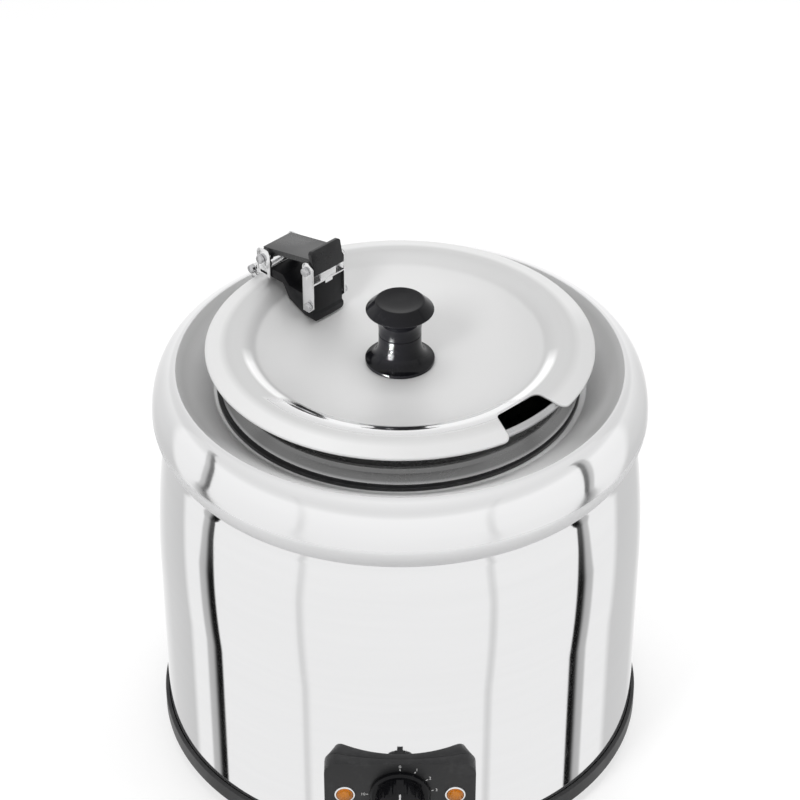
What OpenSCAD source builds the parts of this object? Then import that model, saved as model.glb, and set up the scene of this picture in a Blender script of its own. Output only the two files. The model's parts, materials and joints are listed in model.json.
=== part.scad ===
// Electric soup kettle: a water-bath warmer with a lift-out pot and a hinged lid with a ladle notch.
// Millimetres, +Z up. The origin is on the table under the middle of the base, and the front faces -Y.

/* [Body] */
// Radius of the widest ring of the shoulder
shoulder_r = 172.5; // [166:0.5:182]
// Height of the widest ring above the table
shoulder_h = 272; // [255:1:300]
// How far the straight belly stands out past the shoulder
belly_out = 0.5; // [0:0.1:6]
// How far the top of the straight belly lies below the widest ring
belly_drop = 125; // [90:1:150]
// How far the top of the outer wall lies inside the widest ring
wall_in = 7.3; // [5:0.1:12]
// Thickness of the body sheet
body_sheet = 1; // [0.6:0.1:1.6]
// How far the outer wall reaches up behind the collar's lip
wall_overlap = 7; // [4:0.5:12]

/* [Collar] */
// Width of the collar's round crown
crown_w = 17; // [12:0.5:24]
// Height of the crest above the widest ring
crest_ring_rise = 33; // [24:0.5:40]
// Drop of the turned-in lip below the widest ring
lip_drop = 20; // [8:0.5:24]
// Width of the funnel inside the crest
funnel_w = 26.5; // [18:0.5:32]
// Height of the ledge above the widest ring
ledge_rise = 16.5; // [10:0.5:22]
// Width of the ledge that the pot sits on
ledge_w = 9; // [8:0.5:14]
// Length of the skirt under the ledge
throat_skirt = 12; // [6:0.5:20]

/* [Water well and heater] */
// How far the inside of the water well lies inside the ledge's outer edge
well_in = 3; // [1.5:0.5:6]
// Height of the well's floor above the table
well_floor = 64; // [56:1:76]
// Radius of the rounded corner of the well
well_corner = 14; // [6:1:24]
// How far the ring of the heating element lies inside the well's wall
element_in = 46; // [31:1:66]
// Radius of the element's tube
element_tube_r = 4; // [3:0.5:5]
// Length of the element's cold ends
cold_end = 16; // [10:1:22]
// Thickness of the plate that clamps the element
clamp_plate = 1.5; // [1:0.1:3]
// Radius of the central tie stud
stud_r = 3; // [2.5:0.5:4]
// Radius of the thermal cut-out
cutout_r = 8; // [6:0.5:10]
// Height of the thermal cut-out
cutout_h = 9; // [6:0.5:12]

/* [Base] */
// Height of the rubber feet
foot_h = 7.8; // [6:0.2:12]
// Radius of the face that a foot stands on
foot_r = 13; // [10:0.5:18]
// How far the middle of a foot lies inside the belly
foot_in = 45; // [41:1:63]
// Thickness of the bottom cover
cover_sheet = 1.2; // [0.8:0.1:2]
// How far the edge of the bottom cover lies inside the belly
cover_in = 8; // [5:0.5:13]
// Height of the base ring's lip around the wall
ring_lip_h = 10; // [6:0.5:16]
// Thickness of the base ring
ring_wall = 2.7; // [2:0.1:4]
// How far the base ring reaches in from the belly
ring_reach = 25; // [21:0.5:29]
// Number of cover screws
cover_screw_count = 6; // [4:1:8]

/* [Control] */
// Height of the dial's middle above the table
dial_h = 66; // [58:1:90]
// Width of the dial plate
dial_w = 104; // [92:1:120]
// Height of the dial plate
dial_tall = 56; // [50:1:66]
// How far the dial plate stands off the wall
dial_proud = 5; // [3:0.5:8]
// Radius of the control knob's skirt
control_r = 21; // [18:0.5:23]
// Height of the control knob
control_h = 17; // [14:0.5:22]
// Radius of the thermostat's shaft
shaft_r = 3; // [2.5:0.5:3.5]
// Width of the thermostat
thermo_w = 34; // [30:1:40]
// Depth of the thermostat
thermo_d = 35; // [32:1:37]
// Distance of the lamps from the knob's axis
lamp_x = 38; // [33:0.5:40]
// Radius of a lamp's lens
lens_r = 5.5; // [5:0.5:7]

/* [Cord inlet] */
// Height of the cord gland above the table
gland_h = 40; // [30:1:60]
// Radius of the cord's hole in the gland
gland_bore_r = 4.5; // [3.5:0.5:5]
// Radius of the gland's thread
gland_thread_r = 8; // [7:0.5:10]
// How far the gland stands out of the wall
gland_out = 22.5; // [18:0.5:28]

/* [Pot] */
// Gap between the pot and the throat
pot_play = 4; // [3:0.5:10]
// Thickness of the pot's sheet
pot_sheet = 1; // [0.7:0.1:1.4]
// Height of the pot's floor above the well's floor
pot_clear = 21; // [12:1:60]
// Radius of the pot's rounded corner
pot_corner = 18; // [8:1:30]
// How far the pot's support flange stays inside the ledge's outer edge
flange_in = 5; // [3:0.5:6.5]
// Height of the flange's edge
flange_edge = 3.2; // [2:0.1:4]
// Height of the rim's middle above the seat
rim_rise = 29.4; // [26:0.2:34]
// How far the rolled rim's middle line stands out past the flange
rim_out = 1; // [0:0.5:2]
// Radius of the roll
roll_r = 2.8; // [2.2:0.1:3.2]

/* [Lid] */
// How far the lid reaches past the rim's middle line
lid_over = 9; // [6:0.5:13]
// Thickness of the lid's sheet
lid_sheet = 1; // [0.7:0.1:1.4]
// Fall of the lid's outer slope in degrees
lid_fall = 14.8; // [10:0.2:18]
// Width of the lid's outer slope
slope_w = 26.5; // [24:0.5:34]
// Depth of the dish below the crest
dish_depth = 21; // [14:0.5:24]
// Radius of the bead around the lid's edge
hem_r = 1.1; // [0.8:0.1:1.3]
// Direction of the ladle notch in degrees
notch_turn = -46; // [-60:1:-30]
// Width of the notch at the lid's edge
notch_outer_w = 53; // [40:1:60]
// Width of the notch at its inner end
notch_inner_w = 37; // [30:1:44]
// How deep the notch goes in from the lid's edge
notch_deep = 24; // [18:0.5:26]
// Radius of the notch's inner corners
notch_round = 6; // [3:0.5:8]
// Radius of the notch's corners at the lid's edge
notch_edge_round = 6; // [3:0.5:8]

/* [Lid knob] */
// Radius of the foot of the lid knob
knob_foot_r = 24; // [20:0.5:27]
// Radius of the knob's neck
knob_neck_r = 14.8; // [12:0.2:17]
// Height of the seam between the knob's two pieces
knob_seam_h = 23; // [18:0.5:27]
// Radius of the knob's cap
knob_cap_r = 23.5; // [20:0.5:26]
// Height of the rim of the cap above the lid
knob_rim_h = 42.5; // [36:0.5:48]
// Height of the knob above the lid
knob_h = 49; // [44:0.5:56]
// Radius of the knob's flat top
knob_top_r = 16.6; // [13:0.2:19]
// Radius of the knob's screw
knob_screw_r = 3; // [2.5:0.5:4]

/* [Lid hinge] */
// Direction of the hinge in degrees
hinge_turn = 136; // [120:1:140]
// How far the hinge's axis lies outside the lid's edge
hinge_out = 4.6; // [4:0.2:8]
// Height of the hinge's axis above the slope of the lid there
hinge_rise = 4.4; // [4:0.1:6]
// Radius of all the hinge's pins
pin_r = 1.5; // [1.2:0.1:1.7]
// Wall around the hinge's pin
knuckle_wall = 1.5; // [1.2:0.1:1.6]
// Width of the hinge's leaf
leaf_w = 11; // [9:0.5:16]
// Thickness of the leaf and of the brackets
bracket_sheet = 1.2; // [0.8:0.1:1.6]
// How far the rear pin of the clip lies inside the hinge's axis
rear_pin_in = 18.6; // [16.6:0.2:21.6]
// Height of the rear pin above the slope of the lid
rear_pin_rise = 19.6; // [19:0.1:23]
// Distance between the clip's two upper pins
lever_span = 46.4; // [46:0.2:50]
// Rise of the clip's lever in degrees
lever_tilt = 11.4; // [11:0.2:15]
// Width of the lever's plate
lever_w = 26.8; // [24:0.2:28]
// Thickness of the lever's plate
lever_plate = 4; // [3:0.2:4.4]
// Height of the lever's top above its pins
lever_top = 8.5; // [7.8:0.1:9.5]
// Thickness of the lever's thumb tab
tab_t = 3; // [2.4:0.2:4]
// Height of the thumb tab above the lever's top
tab_up = 6; // [5:0.2:10]
// Reach of the thumb tab below the lever's top
tab_down = 12.2; // [10.5:0.2:13]
// Distance between the front pins
front_pins_apart = 28; // [26:0.5:29]
// Width of the front strips
strip_w = 10; // [10:0.5:14]
// Half width between the brackets' cheeks
cheek_in = 14.8; // [14.4:0.1:15.6]
// Width of the spring tongue
tongue_w = 15; // [12:0.5:18]

/* [Hidden] */
$fn = 96;

// Clearances
part_gap = 0.3;
seat_gap = 0.1;
run_gap = 0.05;
cut = 1;

// Colours
steel = "gainsboro";
polished = "silver";
black = "#202124";
rubber = "#2b2b2b";

// Radii, from the wall to the pot
belly_r = shoulder_r + belly_out;
neck_wall_r = shoulder_r - wall_in;
crest_ring_r = shoulder_r - crown_w;
funnel_r = crest_ring_r - funnel_w;
throat_r = funnel_r - ledge_w;
well_r = funnel_r - well_in;
element_ring_r = well_r - element_in;
foot_ring_r = belly_r - foot_in;
cover_r = belly_r - cover_in;
ring_inner_r = belly_r - ring_reach;
pot_r = throat_r - pot_play - pot_sheet;
flange_r = funnel_r - flange_in;
rim_r = flange_r + rim_out;
lid_r = rim_r + lid_over;
lid_crest_r = lid_r - slope_w;
notch_r = lid_r - notch_deep;
hinge_r = lid_r + hinge_out;
rear_pin_at = hinge_r - rear_pin_in;

// Body stack, from the table up
cover_top = foot_h + cover_sheet;
ring_floor_t = 3;
ring_floor_top = cover_top + ring_floor_t;
wall_inner_r = belly_r - body_sheet;
belly_top = shoulder_h - belly_drop;
lip_h = shoulder_h - lip_drop;
ledge_h = shoulder_h + ledge_rise;
crest_ring_h = shoulder_h + crest_ring_rise;
well_top = ledge_h - body_sheet;
well_under = well_floor - body_sheet;
clamp_top = well_under - 2 * element_tube_r - 2 * seat_gap;
clamp_r = element_ring_r + 3 * element_tube_r;
nut_h = 5;
nut_r = 5.8;
stud_tail = 1.2;

// Base details
ring_r = belly_r + part_gap + ring_wall;
cover_screw_ring = (ring_inner_r + cover_r) / 2;
screw_r = 1.5;
screw_head_r = 3;
screw_head_h = 2;
foot_flare = 2;
foot_stud_r = 4;
foot_barb_r = 5.4;
foot_barb_h = 3;
foot_barb_lead = 1;
foot_count = 4;
vent_count = 16;
vent_w = 4;
vent_l = 26;
vent_in = 58;
vent_ring_r = foot_ring_r - vent_in;

// Control details
dial_front = belly_r + dial_proud;
dial_depth = dial_front - sqrt(belly_r * belly_r - dial_w * dial_w / 4) + cut;
dial_corner = 9;
shaft_play = 2;
shaft_hole_r = shaft_r + shaft_play;
thermo_h = 34;
thermo_front = sqrt(pow(wall_inner_r, 2) - pow(thermo_w / 2, 2)) - part_gap;
control_front_t = 4;
shaft_in_knob = control_h - control_front_t;
shaft_in_thermo = 12;
dial_screw_x = 11;
dial_screw_in = 8;
lens_flange = 1.2;
lens_dome = 3;
lens_edge = 1.2;
lamp_r = lens_r - lens_edge;
lamp_l = 26;
flute_count = 18;
flute_r = 1.6;
pointer_w = 5;

// Inner wiring
wire_r = 1.2;
wire_in = 34;
wire_ring_r = belly_r - wire_in;
wire_low = 20;
wire_step = 4;
wire_x = 8;
block_w = 44;
block_d = 24;
block_h = 17;
block_y = wire_ring_r - block_d / 2;
cold_end_turn = 6;
cold_end_r = element_tube_r - 1;
bulb_r = 3;
bulb_l = 60;
bulb_low = 90;
bulb_turn = -60;
bulb_ring_r = well_r + body_sheet + bulb_r + part_gap;
capillary_r = 1;
joint_swell = 1.3;

// Pot
pot_seat = ledge_h + part_gap;
rim_h = pot_seat + rim_rise;
pot_floor = well_floor + pot_clear;
pot_outer_r = pot_r + pot_sheet;
neck_out = 1;
neck_rise = 13.2;
pot_neck_r = pot_outer_r + neck_out;
pot_neck_h = pot_seat + neck_rise;
pot_top_r = rim_r - roll_r;
fillet_out = 2.7;
fillet_rise = 8.2;
fillet_r = pot_outer_r + fillet_out;
fillet_h = pot_seat + fillet_rise;

// Lid heights, all from the rim that the lid lies on
lid_drop = lid_sheet / cos(lid_fall);
lid_under_rim = rim_h + (roll_r + part_gap) / cos(lid_fall);
function slope_h(r) = lid_under_rim + lid_drop - (r - rim_r) * tan(lid_fall);
lid_crest_h = slope_h(lid_crest_r);
dish_h = lid_crest_h - dish_depth;
dish_power = 3;
dish_run = lid_crest_r - knob_foot_r;
function dish_at(r) = dish_h + dish_depth * pow(max(0, r - knob_foot_r) / dish_run, dish_power);
crest_blend = 10;
knob_seat = dish_h;
washer_h = 1.2;
washer_r = 9;
screw_below_rim = 7;
hole_below_rim = 6;

// Hinge and clip
hinge_h = slope_h(hinge_r) + hinge_rise;
knuckle_r = pin_r + run_gap + knuckle_wall;
leaf_off_crest = 1;
leaf_l = (hinge_r - lid_crest_r - leaf_off_crest) / cos(lid_fall);
rivet_near = 20.5;
rivet_far = 25.8;
rivet_head_r = 2.4;
rivet_head_h = 1.4;
rivet_gap = 1.2;
clamp_arm_in = leaf_w / 2 + part_gap;
clamp_arm_t = 1.6;
clamp_t = 1.6;
clamp_span = 14;
rear_pin_h = slope_h(rear_pin_at) + rear_pin_rise;
front_pin_at = rear_pin_at - lever_span * cos(lever_tilt);
front_pin_h = rear_pin_h + lever_span * sin(lever_tilt);
low_pin_lean = 2;
low_pin_at = front_pin_at - low_pin_lean;
low_pin_h = front_pin_h - front_pins_apart;
cheek_out = cheek_in + bracket_sheet;
pin_head_r = 3.2;
pin_head_h = 3;
lug_r = 3.9;
lug_in = 8;
lug_out = lever_w / 2 - part_gap;
lug_web = 16;
tab_clear = 1.1;
tab_back = lever_span + pin_r + tab_clear;
tab_w = 2 * (cheek_in - 2 * part_gap);
strip_behind = 4.3;
strip_above = 6.5;
strip_below = 5.5;
strip_back = front_pin_at + strip_behind;
strip_front = strip_back - strip_w;
strip_top = front_pin_h + strip_above;
strip_low = low_pin_h - strip_below;
front_shelf_drop = 9.2;
front_shelf_top = front_pin_h - front_shelf_drop;
rear_shelf_top = rear_pin_h - lug_r - part_gap - seat_gap;
rear_cheek_above = 8;
rear_cheek_below = 13.5;
rear_cheek_low = rear_pin_h - rear_cheek_below;
rear_cheek_top = rear_pin_h + rear_cheek_above;
rear_cheek_w = 13.4;
rear_cheek_out = 5.2;
saddle_w = 2 * (cheek_in - part_gap);
saddle_t = 4;
saddle_inset = 2;
saddle_front = strip_front + saddle_inset;
saddle_lip_t = 1.5;
saddle_lip_h = 6;
saddle_off_dish = 1;
saddle_low = dish_at(saddle_front + saddle_t) + saddle_off_dish;
saddle_plate_low = low_pin_h + saddle_inset;
saddle_step = 1;
saddle_rear = rear_pin_at + rear_cheek_out - saddle_step;
foot_margin = 2;
foot_w = leaf_w + 2 * foot_margin;

function mix(a, b, t) = a + (b - a) * t;
function flip(v) = [for (i = [len(v) - 1:-1:0]) v[i]];
function shifted(v, d) = [for (p = v) p + d];
// Points of an elliptical arc
function arc(middle, rx, ry, from, to, n) =
    [for (i = [0:n]) let (a = mix(from, to, i / n)) middle + [rx * cos(a), ry * sin(a)]];
// Points of a curve that leaves p and reaches q along the lines to c
function bend(p, c, q, n) =
    [for (i = [0:n]) let (t = i / n) mix(mix(p, c, t), mix(c, q, t), t)];
// Outline of a rectangle with round corners
function round_box(w, h, r) = concat(
    arc([w / 2 - r, h / 2 - r], r, r, 0, 90, 6),
    arc([r - w / 2, h / 2 - r], r, r, 90, 180, 6),
    arc([r - w / 2, r - h / 2], r, r, 180, 270, 6),
    arc([w / 2 - r, r - h / 2], r, r, 270, 360, 6));

// A straight round rod from p to q
module rod(p, q, r) {
    d = q - p;
    translate(p)
        rotate([0, acos(d[2] / norm(d)), atan2(d[1], d[0])])
            cylinder(r = r, h = norm(d), $fn = 32);
}

// Children on the front wall at x, with +Z of the child pointing out of the kettle
module on_front(x, out) {
    translate([x, -out, dial_h])
        rotate([90, 0, 0])
            children();
}

// Children on the rear wall, with +Z of the child pointing out of the kettle
module on_rear(out) {
    translate([0, out, gland_h])
        rotate([-90, 0, 0])
            children();
}

// Children in the hinge's upright plane: +X outward from the kettle's axis, +Y along the pins
module hinge_plane() {
    rotate([0, 0, hinge_turn])
        children();
}

// Children on the slope of the lid: +X inward and up the slope from under the hinge's axis
module on_slope() {
    hinge_plane()
        translate([hinge_r, 0, slope_h(hinge_r)])
            rotate([0, -lid_fall, 180])
                children();
}

// Children in the lever's frame: +X from the rear pin to the front one
module lever_frame() {
    hinge_plane()
        translate([rear_pin_at, 0, rear_pin_h])
            rotate([0, -lever_tilt, 180])
                children();
}

// A bar across the hinge's plane, centred, at radius at and height h
module across(at, h, r, w) {
    translate([at, w / 2, h])
        rotate([90, 0, 0])
            cylinder(r = r, h = w, $fn = 48);
}

// A headed pin across both cheeks
module cheek_pin(at, h) {
    across(at, h, pin_r, 2 * (cheek_out + seat_gap));
    for (side = [-1, 1])
        translate([0, side * (cheek_out + seat_gap + pin_head_h / 2), 0])
            across(at, h, pin_head_r, pin_head_h);
}

// A plate in the hinge's plane from a flat outline in radius and height
module upright_plate(outline, y, t) {
    translate([0, y + t, 0])
        rotate([90, 0, 0])
            linear_extrude(t)
                polygon(outline);
}

// Body

module outer_shell() {
    rise = lip_h - belly_top;
    steps = 10;
    flare = [for (i = [0:steps]) let (t = i / steps)
        [belly_r - (belly_r - neck_wall_r) * t * t, belly_top + rise * t]];
    outside = concat([[belly_r, ring_floor_top]], flare, [[neck_wall_r, lip_h + wall_overlap]]);
    color(polished)
        difference() {
            rotate_extrude()
                polygon(concat(outside, flip(shifted(outside, [-body_sheet, 0]))));
            on_front(0, dial_front)
                cylinder(r = shaft_hole_r, h = 4 * dial_proud, center = true);
            for (side = [-1, 1]) {
                on_front(side * dial_screw_x, belly_r)
                    cylinder(r = screw_r + part_gap, h = 4 * dial_proud, center = true);
                on_front(side * lamp_x, belly_r)
                    cylinder(r = lamp_r + part_gap, h = 8 * dial_proud, center = true);
            }
            on_rear(belly_r)
                cylinder(r = gland_thread_r + part_gap, h = 4 * dial_proud, center = true);
        }
}

module top_collar() {
    crown_stop = 84;
    crest_t = 1.4 * body_sheet;
    lip_end = [neck_wall_r + part_gap + body_sheet, lip_h];
    widest = [shoulder_r, shoulder_h];
    lip = bend(lip_end, [shoulder_r, lip_h + lip_drop / 2], widest, 8);
    crown = arc([crest_ring_r, shoulder_h], shoulder_r - crest_ring_r, crest_ring_rise, 0, 90, 14);
    lip_inside = bend(lip_end - [body_sheet, 0], [shoulder_r - body_sheet, lip_h + lip_drop / 2],
        widest - [body_sheet, 0], 8);
    crown_inside = arc([crest_ring_r, shoulder_h], shoulder_r - crest_ring_r - body_sheet,
        crest_ring_rise - body_sheet, 0, crown_stop, 14);
    seat = [[funnel_r, ledge_h], [throat_r, ledge_h], [throat_r, ledge_h - throat_skirt]];
    seat_inside = [[throat_r + body_sheet, ledge_h - throat_skirt], [throat_r + body_sheet, well_top],
        [funnel_r + body_sheet / 2, well_top], [crest_ring_r, crest_ring_h - crest_t]];
    color(polished)
        rotate_extrude()
            polygon(concat(lip, crown, seat, seat_inside, flip(crown_inside), flip(lip_inside)));
}

module water_well() {
    outside_r = well_r + body_sheet;
    corner = [outside_r - well_corner, well_under + well_corner];
    outside = concat([[0, well_under]], arc(corner, well_corner, well_corner, 270, 360, 8),
        [[outside_r, well_top]]);
    inside = concat([[well_r, well_top]],
        arc(corner, well_corner - body_sheet, well_corner - body_sheet, 360, 270, 8),
        [[0, well_floor]]);
    color(steel)
        rotate_extrude()
            polygon(concat(outside, inside));
}

module base_ring() {
    outline = [[ring_inner_r, cover_top], [ring_r, cover_top], [ring_r, ring_floor_top + ring_lip_h],
        [ring_r - ring_wall, ring_floor_top + ring_lip_h], [ring_r - ring_wall, ring_floor_top],
        [ring_inner_r, ring_floor_top]];
    color(black)
        difference() {
            rotate_extrude()
                polygon(outline);
            at_cover_screws()
                translate([0, 0, cover_top - cut])
                    cylinder(r = screw_r + run_gap, h = ring_floor_t + 2 * cut, $fn = 32);
        }
}

module at_cover_screws() {
    for (i = [0:cover_screw_count - 1])
        rotate([0, 0, (i + 0.5) * 360 / cover_screw_count])
            translate([cover_screw_ring, 0, 0])
                children();
}

module at_feet() {
    for (i = [0:foot_count - 1])
        rotate([0, 0, (i + 0.5) * 360 / foot_count])
            translate([foot_ring_r, 0, 0])
                children();
}

module bottom_cover() {
    color(steel)
        difference() {
            translate([0, 0, foot_h])
                cylinder(r = cover_r, h = cover_sheet);
            at_cover_screws()
                cylinder(r = screw_r + part_gap, h = 2 * cover_top, $fn = 32);
            at_feet()
                cylinder(r = foot_stud_r + run_gap, h = 2 * cover_top, $fn = 32);
            cylinder(r = stud_r + part_gap, h = 2 * cover_top, $fn = 32);
            for (i = [0:vent_count - 1])
                rotate([0, 0, i * 360 / vent_count])
                    translate([vent_ring_r, -vent_w / 2, 0])
                        cube([vent_l, vent_w, 2 * cover_top]);
        }
}

module feet() {
    outline = [[0, 0], [foot_r, 0], [foot_r + foot_flare, foot_h], [foot_stud_r, foot_h],
        [foot_stud_r, cover_top + seat_gap], [foot_barb_r, cover_top + seat_gap],
        [foot_stud_r - foot_barb_lead, cover_top + foot_barb_h], [0, cover_top + foot_barb_h]];
    color(rubber)
        at_feet()
            rotate_extrude()
                polygon(outline);
}

module cover_screws() {
    color(steel)
        at_cover_screws() {
            translate([0, 0, foot_h - screw_head_h])
                cylinder(r = screw_head_r, h = screw_head_h, $fn = 32);
            translate([0, 0, foot_h - cut])
                cylinder(r = screw_r, h = cover_sheet + ring_floor_t + cut, $fn = 32);
        }
}

// Heater

module heating_element() {
    level = well_under - element_tube_r - seat_gap;
    color("dimgray")
        union() {
            rotate([0, 0, 90 + cold_end_turn])
                translate([0, 0, level])
                    rotate_extrude(angle = 360 - 2 * cold_end_turn)
                        translate([element_ring_r, 0])
                            circle(r = element_tube_r);
            for (side = [-1, 1])
                rotate([0, 0, 90 + side * cold_end_turn])
                    translate([element_ring_r, 0, level - cold_end - element_tube_r])
                        cylinder(r = cold_end_r, h = cold_end + element_tube_r, $fn = 32);
        }
}

module element_clamp() {
    color(steel)
        translate([0, 0, clamp_top - clamp_plate])
            difference() {
                cylinder(r = clamp_r, h = clamp_plate);
                translate([0, 0, -cut])
                    cylinder(r = stud_r + part_gap, h = clamp_plate + 2 * cut, $fn = 32);
                for (side = [-1, 1])
                    rotate([0, 0, 90 + side * cold_end_turn])
                        translate([element_ring_r, 0, -cut])
                            cylinder(r = element_tube_r, h = clamp_plate + 2 * cut, $fn = 32);
            }
}

module tie_stud() {
    color(steel)
        translate([0, 0, stud_tail])
            cylinder(r = stud_r, h = well_under - stud_tail, $fn = 32);
}

module stud_nuts() {
    color(steel)
        for (top = [clamp_top - clamp_plate, foot_h])
            translate([0, 0, top - nut_h])
                difference() {
                    cylinder(r = nut_r, h = nut_h, $fn = 6);
                    translate([0, 0, -cut])
                        cylinder(r = stud_r + run_gap, h = nut_h + 2 * cut, $fn = 32);
                }
}

module thermal_cutout() {
    tab = [0.8, 6, 8];
    tab_x = 4;
    color("#3a3a3a")
        translate([element_ring_r / 2, 0, clamp_top - clamp_plate - cutout_h]) {
            cylinder(r = cutout_r, h = cutout_h, $fn = 48);
            for (side = [-1, 1])
                translate([side * tab_x - tab[0] / 2, -tab[1] / 2, -tab[2]])
                    cube(tab);
        }
}

// Control

module thermostat_body() {
    color("#d8d4c4")
        difference() {
            translate([-thermo_w / 2, -thermo_front, dial_h - thermo_h / 2])
                cube([thermo_w, thermo_d, thermo_h]);
            on_front(0, thermo_front - shaft_in_thermo)
                cylinder(r = shaft_r + run_gap, h = shaft_in_thermo + cut);
            for (side = [-1, 1])
                on_front(side * dial_screw_x, thermo_front - dial_screw_in)
                    cylinder(r = screw_r + run_gap, h = dial_screw_in + cut, $fn = 32);
        }
}

module thermostat_bulb() {
    tube_ring_r = thermo_front - thermo_d / 2;
    start_turn = asin((thermo_w / 2 + part_gap) / tube_ring_r) - 90;
    color("peru")
        union() {
            rotate([0, 0, start_turn])
                translate([0, 0, dial_h])
                    rotate_extrude(angle = bulb_turn - start_turn)
                        translate([tube_ring_r, 0])
                            circle(r = capillary_r, $fn = 24);
            rotate([0, 0, bulb_turn]) {
                rod([bulb_ring_r, 0, dial_h], [tube_ring_r, 0, dial_h], capillary_r);
                for (r = [bulb_ring_r, tube_ring_r])
                    translate([r, 0, dial_h])
                        sphere(r = joint_swell * capillary_r, $fn = 32);
                translate([bulb_ring_r, 0, dial_h])
                    cylinder(r = capillary_r, h = bulb_low - dial_h + cut, $fn = 24);
                translate([bulb_ring_r, 0, bulb_low])
                    cylinder(r = bulb_r, h = bulb_l, $fn = 48);
            }
        }
}

module thermostat_shaft() {
    l = shaft_in_thermo - seat_gap + dial_front - thermo_front + shaft_in_knob;
    color(steel)
        on_front(0, thermo_front - shaft_in_thermo + seat_gap)
            cylinder(r = shaft_r, h = l, $fn = 48);
}

module control_knob() {
    skirt = 4;
    skirt_out = 4;
    pointer_out = 1;
    grip_r = control_r - skirt_out;
    edge = 1.5;
    outline = [[0, 0], [control_r, 0], [control_r, skirt - edge], [control_r - edge, skirt],
        [grip_r, skirt], [grip_r, control_h - edge], [grip_r - edge, control_h], [0, control_h]];
    color(black)
        on_front(0, dial_front + part_gap)
            difference() {
                union() {
                    rotate_extrude()
                        polygon(outline);
                    translate([-pointer_w / 2, 0, skirt / 2])
                        cube([pointer_w, grip_r + pointer_out, control_h - skirt / 2 + pointer_out]);
                }
                translate([0, 0, -cut])
                    cylinder(r = shaft_r + run_gap, h = shaft_in_knob + cut, $fn = 48);
                for (i = [1:flute_count - 1])
                    rotate([0, 0, 90 + i * 360 / flute_count])
                        translate([grip_r + flute_r / 2, 0, skirt + edge])
                            cylinder(r = flute_r, h = control_h, $fn = 24);
            }
}

module dial_plate() {
    color(black)
        difference() {
            on_front(0, dial_front)
                translate([0, 0, -dial_depth])
                    linear_extrude(dial_depth)
                        polygon(round_box(dial_w, dial_tall, dial_corner));
            cylinder(r = belly_r + seat_gap, h = 3 * dial_h, $fn = 128);
            on_front(0, dial_front)
                cylinder(r = shaft_hole_r, h = 4 * dial_depth, center = true, $fn = 48);
            for (side = [-1, 1]) {
                on_front(side * dial_screw_x, dial_front - screw_head_h - part_gap)
                    cylinder(r = screw_head_r + part_gap, h = dial_depth, $fn = 32);
                on_front(side * dial_screw_x, dial_front)
                    cylinder(r = screw_r + part_gap, h = 4 * dial_depth, center = true, $fn = 32);
                on_front(side * lamp_x, dial_front)
                    cylinder(r = lamp_r + part_gap, h = 4 * dial_depth, center = true, $fn = 48);
            }
        }
}

module dial_screws() {
    shank = dial_front - part_gap - screw_head_h - thermo_front + dial_screw_in - part_gap;
    color(steel)
        for (side = [-1, 1])
            on_front(side * dial_screw_x, dial_front - part_gap - screw_head_h) {
                cylinder(r = screw_head_r, h = screw_head_h, $fn = 32);
                translate([0, 0, -shank])
                    cylinder(r = screw_r, h = shank + cut, $fn = 32);
            }
}

module lamp_lenses() {
    outline = concat([[0, 0], [lens_r, 0]], arc([0, lens_flange], lens_r, lens_dome, 0, 90, 8));
    color("orange")
        for (side = [-1, 1])
            on_front(side * lamp_x, dial_front)
                rotate_extrude()
                    polygon(outline);
}

module lamp_bodies() {
    color("#4a4a4a")
        for (side = [-1, 1])
            on_front(side * lamp_x, dial_front - lamp_l)
                cylinder(r = lamp_r, h = lamp_l, $fn = 48);
}

// Cord inlet and wiring

module terminal_block() {
    color("#e8e6dc")
        difference() {
            translate([-block_w / 2, block_y - block_d / 2, cover_top])
                cube([block_w, block_d, block_h]);
            for (i = [-1:1])
                translate([i * block_w / 3, block_y, cover_top + block_h / 2])
                    cylinder(r = screw_head_r, h = block_h, $fn = 32);
        }
}

module wiring() {
    thermo_under = dial_h - thermo_h / 2 - part_gap;
    from_block = asin((block_w / 2 + part_gap + wire_r) / wire_ring_r);
    to_thermo = asin(wire_x / wire_ring_r);
    element_end = [element_ring_r * sin(cold_end_turn), element_ring_r * cos(cold_end_turn),
        well_under - 2 * element_tube_r - seat_gap - cold_end - part_gap - wire_r];
    block_end = [element_end[0], block_y - block_d / 2 - part_gap - wire_r / 2, cover_top + block_h / 2];
    color("firebrick")
        for (side = [-1, 1]) {
            level = wire_low + (side + 1) * wire_step / 2;
            first = side > 0 ? -90 + to_thermo : 90 + from_block;
            rotate([0, 0, first])
                translate([0, 0, level])
                    rotate_extrude(angle = 180 - to_thermo - from_block)
                        translate([wire_ring_r, 0])
                            circle(r = wire_r, $fn = 24);
            rotate([0, 0, -90 + side * to_thermo])
                translate([wire_ring_r, 0, level]) {
                    sphere(r = joint_swell * wire_r, $fn = 32);
                    cylinder(r = wire_r, h = thermo_under - level, $fn = 24);
                }
            mirror([side < 0 ? 1 : 0, 0, 0])
                rod(element_end, block_end, wire_r);
        }
}

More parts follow.
